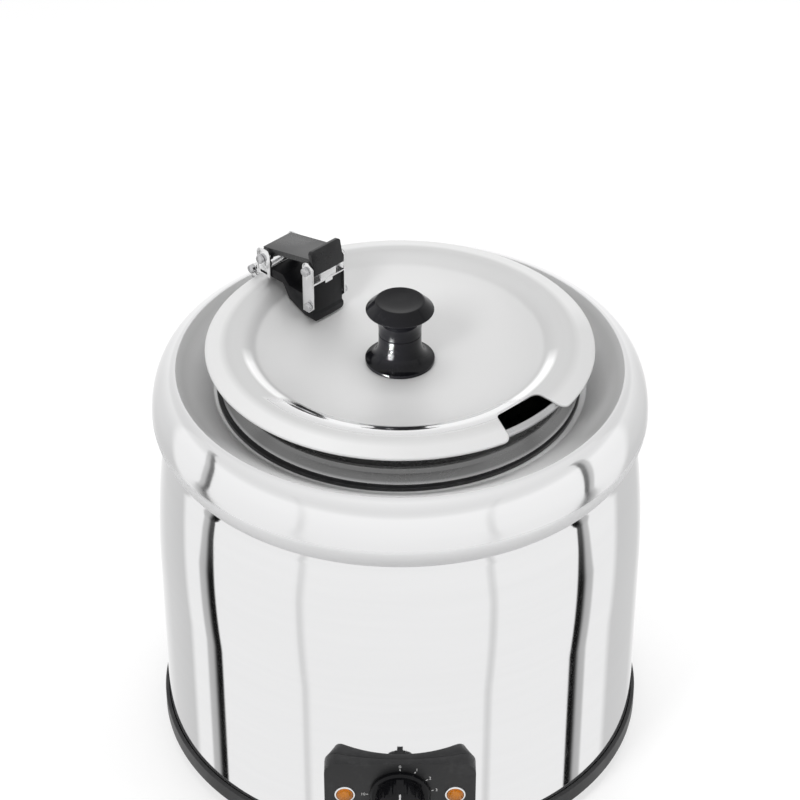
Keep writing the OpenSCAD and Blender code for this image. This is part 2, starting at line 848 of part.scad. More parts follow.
module cord_gland() {
    hex_wall = 5;
    hex_h = 6;
    dome_wall = 3;
    hex_r = gland_thread_r + hex_wall;
    dome_r = gland_thread_r + dome_wall;
    edge = 3;
    tail = 12;
    outline = [[0, 0], [dome_r, 0], [dome_r, gland_out - edge], [dome_r - edge, gland_out], [0, gland_out]];
    color(black)
        difference() {
            on_rear(belly_r) {
                translate([0, 0, -cut])
                    cylinder(r = hex_r, h = hex_h + cut, $fn = 6);
                rotate_extrude()
                    polygon(outline);
            }
            cylinder(r = belly_r + seat_gap, h = 3 * gland_h, $fn = 128);
            on_rear(belly_r - tail)
                translate([0, 0, -cut])
                    cylinder(r = gland_bore_r, h = tail + gland_out + 2 * cut, $fn = 48);
        }
    color(black)
        on_rear(belly_r - tail)
            difference() {
                cylinder(r = gland_thread_r, h = tail + hex_h / 2, $fn = 64);
                translate([0, 0, -cut])
                    cylinder(r = gland_bore_r, h = tail + gland_out, $fn = 48);
            }
}

module gland_locknut() {
    nut_wall = 4.5;
    hex_r = gland_thread_r + nut_wall;
    h = 4;
    face = sqrt(wall_inner_r * wall_inner_r - hex_r * hex_r) - seat_gap;
    color(black)
        on_rear(face - h)
            difference() {
                cylinder(r = hex_r, h = h, $fn = 6);
                translate([0, 0, -cut])
                    cylinder(r = gland_thread_r + run_gap, h = h + 2 * cut, $fn = 64);
            }
}

// Pot

module soup_pot() {
    floor_corner = [pot_outer_r - pot_corner, pot_floor - pot_sheet + pot_corner];
    lean_swell = 1.1;
    fillet_round = 1;
    neck_in = pot_sheet * lean_swell;
    outside = concat([[0, pot_floor - pot_sheet]],
        arc(floor_corner, pot_corner, pot_corner, 270, 360, 8),
        [[pot_outer_r, pot_seat], [flange_r, pot_seat], [flange_r, pot_seat + flange_edge]],
        bend([fillet_r, fillet_h], [pot_neck_r, fillet_h + fillet_round], [pot_neck_r, pot_neck_h], 5),
        [[pot_top_r, rim_h - roll_r / 2], [rim_r, rim_h]]);
    inside = concat([[rim_r - roll_r / 2, rim_h], [pot_top_r - neck_in, rim_h - roll_r / 2],
        [pot_neck_r - neck_in, pot_neck_h], [pot_r, fillet_h]],
        arc(floor_corner, pot_corner - pot_sheet, pot_corner - pot_sheet, 360, 270, 8),
        [[0, pot_floor]]);
    color(steel)
        rotate_extrude()
            union() {
                polygon(concat(outside, inside));
                translate([rim_r, rim_h])
                    circle(r = roll_r, $fn = 48);
            }
}

module rim_clamp() {
    neck_l = rim_h - roll_r / 2 - pot_neck_h;
    function neck_at(h) = mix(pot_neck_r, pot_top_r, (h - pot_neck_h) / neck_l);
    pad_margin = 1;
    pad_low = pot_neck_h + pad_margin;
    pad_top = rim_h - roll_r - pad_margin;
    pad = [[neck_at(pad_low) + seat_gap, pad_low], [neck_at(pad_low) + clamp_t, pad_low],
        [neck_at(pad_top) + clamp_t, pad_top], [neck_at(pad_top) + seat_gap, pad_top]];
    ear_margin = 0.2;
    ear_r = knuckle_r + ear_margin;
    ear_drop = 2.4 * ear_r;
    arm_clear = 1.5;
    under_lid = slope_h(lid_r) - lid_drop - 2 * hem_r - arm_clear;
    arm = [[neck_at(pad_low) + clamp_t / 2, pad_low], [hinge_r + ear_r / 2, hinge_h - ear_drop],
        [hinge_r + ear_r, hinge_h - ear_r], [hinge_r + ear_r, hinge_h], [hinge_r, hinge_h],
        [hinge_r - ear_r / 2, hinge_h - ear_r], [lid_r - ear_r, under_lid],
        [neck_at(pad_top) + clamp_t, pad_top], [neck_at(pad_top) + clamp_t / 2, pad_top]];
    color(polished)
        hinge_plane()
            difference() {
                union() {
                    rotate([0, 0, -clamp_span / 2])
                        rotate_extrude(angle = clamp_span)
                            polygon(pad);
                    for (side = [-1, 1]) {
                        arm_y = side > 0 ? clamp_arm_in : -clamp_arm_in - clamp_arm_t;
                        upright_plate(arm, arm_y, clamp_arm_t);
                        translate([0, side * (clamp_arm_in + clamp_arm_t / 2), 0])
                            across(hinge_r, hinge_h, ear_r, clamp_arm_t);
                    }
                }
                across(hinge_r, hinge_h, pin_r + run_gap, 4 * leaf_w);
            }
}

module hinge_pin() {
    reach = clamp_arm_in + clamp_arm_t + seat_gap;
    color(polished)
        hinge_plane() {
            across(hinge_r, hinge_h, pin_r, 2 * reach);
            for (side = [-1, 1])
                translate([0, side * (reach + pin_head_h / 2), 0])
                    across(hinge_r, hinge_h, pin_head_r, pin_head_h);
        }
}

// Lid

module lid_notch() {
    half_out = notch_outer_w / 2;
    half_in = notch_inner_w / 2;
    lean = atan2(half_out - half_in, lid_r - notch_r);
    past = lid_r + notch_outer_w;
    round_at = [notch_r + notch_round, half_in + notch_round * tan(lean) - notch_round / cos(lean)];
    corner = arc(round_at, notch_round, notch_round, 90 + lean, 180, 6);
    // The corner at the lid's edge is a circle that touches the edge and the notch's side
    t = tan(lean);
    offset_y = half_in - notch_r * t + notch_edge_round / cos(lean);
    reach = lid_r - notch_edge_round;
    edge_x = (sqrt(reach * reach * (1 + t * t) - offset_y * offset_y) - t * offset_y) / (1 + t * t);
    edge_at = [edge_x, edge_x * t + offset_y];
    edge_turn = atan2(edge_at[1], edge_at[0]);
    edge = arc(edge_at, notch_edge_round, notch_edge_round, edge_turn, lean - 90, 6);
    outside = past * [cos(edge_turn), sin(edge_turn)];
    side = concat([outside], edge, corner);
    mirrored = [for (p = flip(side)) [p[0], -p[1]]];
    rotate([0, 0, notch_turn])
        linear_extrude(2 * lid_crest_h)
            polygon(concat(side, mirrored));
}

module lid() {
    in_r = lid_crest_r - crest_blend;
    out_r = lid_crest_r + crest_blend;
    steps = 16;
    dish = [for (i = [0:steps]) let (r = mix(knob_foot_r, in_r, i / steps)) [r, dish_at(r)]];
    steep = dish_power * dish_depth * pow((in_r - knob_foot_r) / dish_run, dish_power - 1) / dish_run;
    meet_r = (slope_h(0) - dish_at(in_r) + steep * in_r) / (steep + tan(lid_fall));
    crest = bend([in_r, dish_at(in_r)], [meet_r, slope_h(meet_r)], [out_r, slope_h(out_r)], 8);
    top = concat([[0, dish_h]], dish, crest);
    // The edge is rolled under, and the roll runs on from the top of the slope
    hem_at = [lid_r - hem_r, slope_h(lid_r - hem_r) - hem_r / cos(lid_fall)];
    roll_end = asin(1 - lid_sheet / hem_r) - 180;
    hem = arc(hem_at, hem_r, hem_r, 90 - lid_fall, roll_end - lid_fall, 14);
    color(polished)
        difference() {
            rotate_extrude()
                polygon(concat(top, hem, flip(shifted(top, [0, -lid_drop]))));
            lid_notch();
            translate([0, 0, dish_h - dish_depth])
                cylinder(r = knob_screw_r + part_gap, h = 2 * dish_depth, $fn = 48);
            at_rivets()
                cylinder(r = pin_r + part_gap, h = 4 * saddle_t, center = true, $fn = 32);
        }
}

module lid_knob_base() {
    edge_h = 2.5;
    foot_round = 2;
    waist_drop = 5;
    waist_h = knob_seam_h - waist_drop;
    outline = concat([[0, 0], [knob_foot_r, 0]],
        bend([knob_foot_r, edge_h], [knob_neck_r, edge_h + foot_round], [knob_neck_r, waist_h], 12),
        [[knob_neck_r, knob_seam_h], [0, knob_seam_h]]);
    color(black)
        translate([0, 0, knob_seat])
            difference() {
                rotate_extrude()
                    polygon(outline);
                translate([0, 0, -cut])
                    cylinder(r = knob_screw_r + part_gap, h = knob_seam_h + 2 * cut, $fn = 48);
            }
}

module lid_knob_cap() {
    collar_h = 4;
    flare_at = [knob_neck_r + 1, knob_rim_h - 5];
    lower_h = knob_seam_h + collar_h;
    hole_l = knob_rim_h - knob_seam_h - hole_below_rim;
    brim = 1;
    hollow = 1.2;
    outline = concat([[0, knob_seam_h], [knob_neck_r, knob_seam_h]],
        bend([knob_neck_r, lower_h], flare_at, [knob_cap_r, knob_rim_h - brim], 10),
        [[knob_cap_r, knob_rim_h], [knob_top_r, knob_h]],
        bend([knob_top_r - brim, knob_h], [knob_top_r / 2, knob_h - hollow], [0, knob_h - hollow], 6));
    color(black)
        translate([0, 0, knob_seat])
            difference() {
                rotate_extrude()
                    polygon(outline);
                translate([0, 0, knob_seam_h - cut])
                    cylinder(r = knob_screw_r + run_gap, h = hole_l + cut, $fn = 48);
            }
}

module knob_screw() {
    head_h = 3.5;
    under = knob_seat - lid_drop - washer_h;
    shank = washer_h + lid_drop + knob_rim_h - screw_below_rim;
    color(steel)
        union() {
            translate([0, 0, under - head_h])
                cylinder(r = 2 * knob_screw_r, h = head_h, $fn = 48);
            translate([0, 0, under - cut])
                cylinder(r = knob_screw_r, h = cut + shank, $fn = 48);
        }
}

module knob_washer() {
    color(steel)
        translate([0, 0, knob_seat - lid_drop - washer_h])
            difference() {
                cylinder(r = washer_r, h = washer_h - seat_gap, $fn = 64);
                translate([0, 0, -cut])
                    cylinder(r = knob_screw_r + part_gap, h = washer_h + 2 * cut, $fn = 48);
            }
}

// Hinge and clip

module at_rivets() {
    on_slope()
        for (x = [rivet_near, rivet_far])
            translate([x, 0, 0])
                children();
}

module hinge_leaf() {
    color(polished)
        difference() {
            union() {
                on_slope()
                    translate([0, -leaf_w / 2, part_gap])
                        cube([leaf_l, leaf_w, bracket_sheet]);
                hinge_plane()
                    across(hinge_r, hinge_h, knuckle_r, leaf_w);
                on_slope()
                    translate([-knuckle_r / 2, -leaf_w / 2, part_gap])
                        cube([knuckle_r, leaf_w, hinge_rise - part_gap]);
            }
            hinge_plane()
                across(hinge_r, hinge_h, pin_r + run_gap, 2 * leaf_w);
            at_rivets()
                cylinder(r = pin_r + run_gap, h = 4 * saddle_t, center = true, $fn = 32);
        }
}

module hinge_saddle() {
    foot_in = leaf_l - saddle_step;
    foot_out = (hinge_r - saddle_rear) / cos(lid_fall);
    foot_low = part_gap + bracket_sheet;
    block_over = 7;
    step_l = 6;
    block_low = rear_cheek_low + saddle_step;
    block_in = lid_crest_r - block_over;
    step_in = block_in - step_l;
    step_low = saddle_plate_low + saddle_step;
    side_outline = [[saddle_front, saddle_low + saddle_lip_h], [saddle_front - saddle_lip_t,
        saddle_low + saddle_lip_h - saddle_lip_t], [saddle_front - saddle_lip_t, saddle_low],
        [saddle_front + saddle_t, saddle_low], [step_in, dish_at(step_in) + 2 * saddle_off_dish],
        [block_in, block_low], [saddle_rear, block_low],
        [saddle_rear, rear_shelf_top - bracket_sheet], [block_in, rear_shelf_top - bracket_sheet],
        [step_in, step_low + saddle_t], [saddle_front + saddle_t, saddle_plate_low + saddle_t],
        [saddle_front + saddle_t, front_shelf_top - bracket_sheet],
        [saddle_front, front_shelf_top - bracket_sheet]];
    color(black)
        difference() {
            union() {
                hinge_plane()
                    upright_plate(side_outline, -saddle_w / 2, saddle_w);
                on_slope()
                    translate([foot_out, -foot_w / 2, foot_low])
                        cube([foot_in - foot_out, foot_w, block_low - slope_h(saddle_rear)]);
            }
            at_rivets()
                cylinder(r = pin_r + run_gap, h = foot_low + 3 * saddle_t, $fn = 32);
            hinge_plane()
                across(low_pin_at, low_pin_h, pin_r + run_gap, 2 * saddle_w);
        }
}

module saddle_rivets() {
    under = lid_sheet + rivet_gap;
    shank = under + part_gap + bracket_sheet + saddle_t;
    color(polished)
        at_rivets()
            translate([0, 0, -under]) {
                cylinder(r = pin_r, h = shank, $fn = 32);
                translate([0, 0, -rivet_head_h])
                    cylinder(r = rivet_head_r, h = rivet_head_h, $fn = 32);
            }
}

module rear_bracket() {
    outer = rear_pin_at + rear_cheek_out;
    inner = outer - rear_cheek_w;
    corner = 4;
    cheek = concat([[outer, rear_cheek_low], [outer, rear_cheek_top - corner]],
        arc([outer - corner, rear_cheek_top - corner], corner, corner, 0, 90, 5),
        arc([inner + corner, rear_cheek_top - corner], corner, corner, 90, 180, 5),
        [[inner, rear_cheek_low]]);
    slot_l = 7;
    slot_h = 2;
    slot_x = 3;
    slot_up = 2;
    color(polished)
        hinge_plane()
            difference() {
                union() {
                    for (y = [cheek_in, -cheek_out])
                        upright_plate(cheek, y, bracket_sheet);
                    translate([inner, -cheek_in - bracket_sheet / 2, rear_shelf_top - bracket_sheet])
                        cube([saddle_rear - inner, 2 * cheek_in + bracket_sheet, bracket_sheet]);
                }
                across(rear_pin_at, rear_pin_h, pin_r + run_gap, 3 * cheek_out);
                translate([inner + slot_x, -2 * cheek_out, rear_cheek_low + slot_up])
                    cube([slot_l, 4 * cheek_out, slot_h]);
            }
}

module front_bracket() {
    corner = 4;
    strip = concat([[strip_back, strip_low], [strip_back, strip_top - corner]],
        arc([strip_back - corner, strip_top - corner], corner, corner, 0, 90, 5),
        [[strip_front + corner, strip_top], [strip_front, strip_top - corner],
        [strip_front, strip_low + corner], [strip_front + corner, strip_low]]);
    catch_w = 7;
    catch_h = 3.5;
    color(polished)
        hinge_plane()
            difference() {
                union() {
                    for (y = [cheek_in, -cheek_out])
                        upright_plate(strip, y, bracket_sheet);
                    translate([strip_front, -cheek_in - bracket_sheet / 2, front_shelf_top - bracket_sheet])
                        cube([strip_w, 2 * cheek_in + bracket_sheet, bracket_sheet]);
                    translate([strip_front, -catch_w / 2, front_shelf_top - catch_h])
                        cube([bracket_sheet, catch_w, catch_h]);
                }
                across(front_pin_at, front_pin_h, pin_r + run_gap, 3 * cheek_out);
                across(low_pin_at, low_pin_h, pin_r + run_gap, 3 * cheek_out);
            }
}

module spring_tongue() {
    tab_low = lever_top - tab_down;
    tab_low_h = rear_pin_h + tab_back * sin(lever_tilt) + tab_low * cos(lever_tilt);
    tab_front_at = rear_pin_at - (tab_back + tab_t) * cos(lever_tilt) + tab_low * sin(lever_tilt);
    color(polished)
        hinge_plane()
            translate([tab_front_at + tab_t / 3, -tongue_w / 2, front_shelf_top])
                cube([bracket_sheet, tongue_w, tab_low_h - front_shelf_top - part_gap]);
}

module lever_pin() {
    color(polished)
        hinge_plane()
            cheek_pin(rear_pin_at, rear_pin_h);
}

module front_pins() {
    color(polished)
        hinge_plane() {
            cheek_pin(front_pin_at, front_pin_h);
            cheek_pin(low_pin_at, low_pin_h);
        }
}

module release_lever() {
    plate_back = tab_clear;
    color(black)
        lever_frame()
            difference() {
                union() {
                    translate([plate_back, -lever_w / 2, lever_top - lever_plate])
                        cube([tab_back + cut - plate_back, lever_w, lever_plate]);
                    translate([tab_back, -tab_w / 2, lever_top - tab_down])
                        cube([tab_t, tab_w, tab_down + tab_up]);
                    for (y = [lug_in, -lug_out])
                        translate([0, y, 0]) {
                            translate([0, lug_out - lug_in, 0])
                                rotate([90, 0, 0]) {
                                    cylinder(r = lug_r, h = lug_out - lug_in, $fn = 48);
                                    linear_extrude(lug_out - lug_in)
                                        polygon([[0, 0], [lug_r + plate_back, 0],
                                            [lug_web, lever_top - lever_plate],
                                            [lug_web, lever_top - lever_plate / 2],
                                            [0, lever_top - lever_plate / 2]]);
                                }
                        }
                }
                translate([0, lever_w, 0])
                    rotate([90, 0, 0])
                        cylinder(r = pin_r + run_gap, h = 2 * lever_w, $fn = 48);
            }
}

outer_shell();
top_collar();
water_well();
base_ring();
bottom_cover();
feet();
cover_screws();
heating_element();
element_clamp();
tie_stud();
stud_nuts();
thermal_cutout();
thermostat_body();
thermostat_bulb();
thermostat_shaft();
control_knob();
dial_plate();
dial_screws();
lamp_lenses();
lamp_bodies();
terminal_block();
wiring();
cord_gland();
gland_locknut();
soup_pot();
rim_clamp();
hinge_pin();
lid();
lid_knob_base();
lid_knob_cap();
knob_screw();
knob_washer();
hinge_leaf();
hinge_saddle();
saddle_rivets();
rear_bracket();
front_bracket();
spring_tongue();
lever_pin();
front_pins();
release_lever();
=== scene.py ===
import json
import math
import bmesh
import bpy
from mathutils import Matrix, Vector

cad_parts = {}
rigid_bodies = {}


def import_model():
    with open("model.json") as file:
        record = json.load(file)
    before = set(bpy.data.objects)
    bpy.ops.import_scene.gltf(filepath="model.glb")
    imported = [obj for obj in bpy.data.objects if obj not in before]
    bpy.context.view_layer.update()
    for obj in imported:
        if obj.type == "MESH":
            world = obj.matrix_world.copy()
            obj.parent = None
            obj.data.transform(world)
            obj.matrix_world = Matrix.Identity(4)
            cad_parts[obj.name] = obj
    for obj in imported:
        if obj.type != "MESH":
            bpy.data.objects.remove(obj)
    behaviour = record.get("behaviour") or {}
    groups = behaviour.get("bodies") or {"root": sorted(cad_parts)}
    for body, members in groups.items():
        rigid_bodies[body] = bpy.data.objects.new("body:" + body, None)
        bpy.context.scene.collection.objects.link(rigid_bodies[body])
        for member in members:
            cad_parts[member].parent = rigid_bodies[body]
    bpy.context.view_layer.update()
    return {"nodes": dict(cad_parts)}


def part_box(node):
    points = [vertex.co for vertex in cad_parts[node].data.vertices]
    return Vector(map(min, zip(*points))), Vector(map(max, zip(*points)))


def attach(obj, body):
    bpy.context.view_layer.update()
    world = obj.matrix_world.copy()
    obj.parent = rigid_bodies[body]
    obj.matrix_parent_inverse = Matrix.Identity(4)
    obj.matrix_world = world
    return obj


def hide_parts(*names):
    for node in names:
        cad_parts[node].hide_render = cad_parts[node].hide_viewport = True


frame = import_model()
cad = frame["nodes"]
scene = bpy.context.scene
mm = 0.001
print("frame:", len(cad), "nodes")


# camera, floor and light

view = {"aim": (0, 0, 0.272), "reach": 1.8, "rise": 35.3, "lens": 116.1, "sensor": 36}
floorLook = {"size": 14, "albedo": 0.4, "glow": 0.6}
softboxes = {
    "keyBox": {"at": (-1.1, -1.5, 1.75), "size": (0.55, 0.8), "watts": 20, "mirrored": False},
    "fillBox": {"at": (1.7, -0.6, 1.5), "size": (0.9, 0.9), "watts": 12, "mirrored": False},
    "topBox": {"at": (0.0, 0.5, 2.4), "size": (1.8, 1.2), "watts": 28, "mirrored": False},
    "glintStrip": {"at": (-0.632, -0.59, 0.05), "size": (0.34, 0.6), "watts": 34, "mirrored": True},
}
# what polished steel sees around it, as (degrees from the front, brightness)
roomSides = [
    (-180, 1.1), (-172, 1.05), (-160, 0.86), (-145, 0.7), (-121, 0.63), (-116.5, 0.93), (-48, 0.93),
    (-46.5, 0.74), (-44.5, 0.74), (-43, 0.93), (40, 0.93), (41.2, 0.7), (43, 0.7), (44.5, 0.93),
    (88, 0.93), (116.5, 0.92), (122, 0.64), (150, 0.66), (162, 0.84), (172, 1.05), (180, 1.1),
]
# the same by degrees above the horizon: brightness overhead, its share, and dimming underneath
roomHeights = [
    (-90, 0.9), (0, 1.05), (18, 1.05), (28, 0.84), (38, 0.8), (55, 0.86), (70, 0.9), (90, 0.95),
]
roomBlend = [
    (-90, 0), (-32, 0), (-22, 0.2), (-5, 0.35), (10, 0.5), (25, 0.65), (40, 0.8), (55, 1), (90, 1),
]
roomUnder = [(-90, 0.64), (-66, 0.66), (-48, 1), (90, 1)]
# a black flag stands at each side: its near edge, then shade by degrees behind that edge
flags = {
    "left": {"sign": -1, "edge": 93.4, "lean": 1.27},
    "right": {"sign": 1, "edge": 88.1, "lean": 0.74},
}
flagShade = [
    (0, 1), (0.9, 0.008), (3.4, 0.008), (4.3, 0.02), (5, 0.07), (5.7, 0.2), (6.4, 0.33), (7.4, 0.5),
    (11, 0.58), (12.6, 1), (14, 1),
]
# by degrees above the horizon: how far the flags lean, how narrow and how clear they are
flagLean = [
    (-90, 0.9), (-34, 0.9), (-31, 0.8), (-29, 0.7), (-27.5, 0), (-25, -1.4), (-20, -3.6), (-15, -4.8),
    (-10, -5.7), (-4, -6.2), (3, -6.2), (10, -5.4), (17, -3.6), (26, -0.6), (33, 4), (43, 12),
    (47, 40), (90, 40),
]
flagSlim = [(-90, 1), (-33, 1), (-24, 1.9), (90, 1.9)]
flagClear = [
    (-90, 0), (-53, 0), (-46.5, 1), (-33, 1), (-24, 0.88), (-20, 0.86), (28, 0.82), (40, 0.5),
    (46, 0), (90, 0),
]
# light on matt surfaces, the most that each ramp holds, and the room's share of the flags' lean
roomLook = {"glow": 0.5, "brightest": 1.2, "slimmest": 2, "mostLean": 45, "leanShare": 0.7}


def feed(tree, socket, value):
    if isinstance(value, bpy.types.NodeSocket):
        tree.links.new(value, socket)
    else:
        socket.default_value = value


def put(tree, kind, values=None, **settings):
    node = tree.nodes.new(kind)
    for key, value in settings.items():
        setattr(node, key, value)
    for key, value in (values or {}).items():
        feed(tree, node.inputs[key], value)
    return node


def calc(tree, operation, *values):
    node = put(tree, "ShaderNodeMath", operation=operation)
    for socket, value in zip(node.inputs, values):
        feed(tree, socket, value)
    return node.outputs[0]


def within(tree, value, none, full):  # 0 at the first limit, 1 at the second
    limits = {"Value": value, "From Min": none, "From Max": full}
    return put(tree, "ShaderNodeMapRange", limits).outputs["Result"]


def grey(value):
    return (value, value, value, 1)


def ramp(tree, value, stops):
    node = put(tree, "ShaderNodeValToRGB", {"Fac": value})
    elements = node.color_ramp.elements
    elements[0].position = stops[0][0]
    elements[1].position = stops[-1][0]
    for place, shade in stops[1:-1]:
        elements.new(place)
    for element, (place, shade) in zip(elements, stops):
        element.color = grey(shade)
    return node.outputs["Color"]


def tint(tree, factor, first, second):
    node = put(tree, "ShaderNodeMix", {"Factor": factor, "A": first, "B": second}, data_type="RGBA")
    return node.outputs["Result"]


def mixShaders(tree, factor, first, second):
    return put(tree, "ShaderNodeMixShader", {0: factor, 1: first.outputs[0], 2: second.outputs[0]})


def rayKinds(tree):  # rays that see the plain white around the object, and rays that mirror the room
    path = put(tree, "ShaderNodeLightPath").outputs
    seen = calc(tree, "MAXIMUM", path["Is Camera Ray"], path["Is Transmission Ray"])
    return seen, path["Is Glossy Ray"]


def setCamera():
    data = bpy.data.cameras.new("photoCamera")
    data.lens = view["lens"]
    data.sensor_width = view["sensor"]
    camera = bpy.data.objects.new("photoCamera", data)
    rise = math.radians(view["rise"])
    camera.location = Vector(view["aim"]) + view["reach"] * Vector((0, -math.cos(rise), math.sin(rise)))
    camera.rotation_euler = (math.pi / 2 - rise, 0, 0)
    scene.collection.objects.link(camera)
    scene.camera = camera


def setWorld():
    world = bpy.data.worlds.new("studio")
    world.use_nodes = True
    scene.world = world
    tree = world.node_tree
    tree.nodes.clear()
    facing = put(tree, "ShaderNodeTexCoord").outputs["Generated"]
    x, y, z = put(tree, "ShaderNodeSeparateXYZ", {"Vector": facing}).outputs
    rise = calc(tree, "MULTIPLY_ADD", calc(tree, "ARCSINE", z), 1 / math.pi, 0.5)

    def byHeight(stops, most=1):  # stops are (degrees above the horizon, value)
        shares = [((a + 90) / 180, v / most) for a, v in stops]
        return calc(tree, "MULTIPLY", ramp(tree, rise, shares), most)

    back = calc(tree, "MULTIPLY", y, -1)
    turn = calc(tree, "MULTIPLY", calc(tree, "ARCTAN2", x, back), 180 / math.pi)
    lean = roomLook["mostLean"]
    leaning = byHeight([(a, v + lean) for a, v in flagLean], 2 * lean)
    shift = calc(tree, "SUBTRACT", leaning, lean)
    near = calc(tree, "MULTIPLY", shift, roomLook["leanShare"])
    near = calc(tree, "MULTIPLY", near, calc(tree, "SIGN", turn))
    place = calc(tree, "MULTIPLY_ADD", calc(tree, "SUBTRACT", turn, near), 1 / 360, 0.5)
    sides = ramp(tree, place, [((a + 180) / 360, v) for a, v in roomSides])
    room = tint(tree, byHeight(roomBlend), sides, byHeight(roomHeights, roomLook["brightest"]))
    span = flagShade[-1][0]
    slim = calc(tree, "DIVIDE", byHeight(flagSlim, roomLook["slimmest"]), span)
    shades = []
    for flag in flags.values():
        edge = calc(tree, "MULTIPLY_ADD", shift, flag["lean"], flag["edge"])
        behind = calc(tree, "SUBTRACT", calc(tree, "MULTIPLY", turn, flag["sign"]), edge)
        behind = calc(tree, "MULTIPLY", behind, slim)
        shades.append(ramp(tree, behind, [(a / span, v) for a, v in flagShade]))
    shade = calc(tree, "SUBTRACT", calc(tree, "MULTIPLY", *shades), 1)
    shade = calc(tree, "MULTIPLY_ADD", shade, byHeight(flagClear), 1)
    under = calc(tree, "MULTIPLY", byHeight(roomUnder), shade)
    mirrored = put(tree, "ShaderNodeBackground", {"Color": room, "Strength": under})
    plain = put(tree, "ShaderNodeBackground", {"Color": grey(1), "Strength": 1})
    soft = put(tree, "ShaderNodeBackground", {"Color": grey(1), "Strength": roomLook["glow"]})
    seen, glossy = rayKinds(tree)
    last = mixShaders(tree, glossy, mixShaders(tree, seen, soft, plain), mirrored)
    put(tree, "ShaderNodeOutputWorld", {"Surface": last.outputs[0]})


def setFloor():
    half = floorLook["size"] / 2
    corners = [(-half, -half, 0), (half, -half, 0), (half, half, 0), (-half, half, 0)]
    mesh = bpy.data.meshes.new("floor")
    mesh.from_pydata(corners, [], [(0, 1, 2, 3)])
    floor = bpy.data.objects.new("floor", mesh)
    scene.collection.objects.link(floor)
    material = bpy.data.materials.new("paleFloor")
    material.use_nodes = True
    tree = material.node_tree
    tree.nodes.clear()
    seen, glossy = rayKinds(tree)
    matt = put(tree, "ShaderNodeBsdfDiffuse", {"Color": grey(floorLook["albedo"])})
    strength = calc(tree, "MULTIPLY", seen, floorLook["glow"])
    glow = put(tree, "ShaderNodeEmission", {"Color": grey(1), "Strength": strength})
    both = put(tree, "ShaderNodeAddShader", {0: matt.outputs[0], 1: glow.outputs[0]})
    last = mixShaders(tree, glossy, both, put(tree, "ShaderNodeBsdfTransparent"))
    put(tree, "ShaderNodeOutputMaterial", {"Surface": last.outputs[0]})
    mesh.materials.append(material)


def setLights():
    for name, box in softboxes.items():
        light = bpy.data.lights.new(name, "AREA")
        light.shape = "RECTANGLE"
        light.size, light.size_y = box["size"]
        light.energy = box["watts"]
        lamp = bpy.data.objects.new(name, light)
        lamp.visible_camera = False
        lamp.visible_glossy = box["mirrored"]
        lamp.location = box["at"]
        lamp.rotation_euler = (Vector(view["aim"]) - lamp.location).to_track_quat("-Z", "Y").to_euler()
        scene.collection.objects.link(lamp)
        if box["mirrored"]:
            light.cycles.use_multiple_importance_sampling = False
            lamp.light_linking.receiver_collection = glintOn
            lamp.light_linking.blocker_collection = glintOn


glintOn = bpy.data.collections.new("glintOn")  # the strip shows on the lid knob alone
setCamera()
setWorld()
setFloor()
setLights()
scene.view_settings.view_transform = "Standard"
print("studio: camera, floor,", len(softboxes), "softboxes")


# finishes

def newGroup(name, inputs, outputs):
    group = bpy.data.node_groups.new(name, "ShaderNodeTree")
    for label, value in inputs.items():
        socket = group.interface.new_socket(label, in_out="INPUT", socket_type="NodeSocketFloat")
        socket.default_value = value
    for label in outputs:
        group.interface.new_socket(label, in_out="OUTPUT", socket_type="NodeSocketFloat")
    return group, group.nodes.new("NodeGroupInput").outputs, group.nodes.new("NodeGroupOutput")


latheLook = {"perMetre": 2200, "waver": 1.5, "sheenShare": 0.05}
markLook = {
    "smearSize": 16, "smear": (0.45, 0.75), "hairlines": 90, "hair": (0.66, 0.7),
    "drawn": (1, 9, 1), "turned": (0.3, 0.2, 0.7),
}
grainLook = {"perMetre": 2600, "dust": 0.5, "dustSize": 60, "dusty": (0.5, 0.8)}


def fromAxis(tree):  # distance from the upright axis, turn around it, and height
    place = put(tree, "ShaderNodeTexCoord").outputs["Object"]
    x, y, z = put(tree, "ShaderNodeSeparateXYZ", {"Vector": place}).outputs
    square = calc(tree, "ADD", calc(tree, "MULTIPLY", x, x), calc(tree, "MULTIPLY", y, y))
    return calc(tree, "SQRT", square), calc(tree, "ARCTAN2", y, x), z


def makeLatheLines():  # fine rings left by polishing a spun part
    look = latheLook
    group, given, out = newGroup("latheLines", {"Per Metre": look["perMetre"]}, ["Lines", "Sheen"])
    radius, turn, z = fromAxis(group)
    across = calc(group, "MULTIPLY", calc(group, "ADD", radius, z), given["Per Metre"])
    waver = calc(group, "MULTIPLY", turn, look["waver"])
    spot = put(group, "ShaderNodeCombineXYZ", {"X": across, "Y": waver, "Z": z})
    lines = put(group, "ShaderNodeTexNoise", {"Vector": spot.outputs[0], "Scale": 1, "Detail": 3})
    coarse = calc(group, "MULTIPLY", across, look["sheenShare"])
    broad = put(group, "ShaderNodeCombineXYZ", {"X": coarse, "Y": turn, "Z": 0})
    sheen = put(group, "ShaderNodeTexNoise", {"Vector": broad.outputs[0], "Scale": 1, "Detail": 2})
    group.links.new(lines.outputs["Fac"], out.inputs["Lines"])
    group.links.new(sheen.outputs["Fac"], out.inputs["Sheen"])
    return group


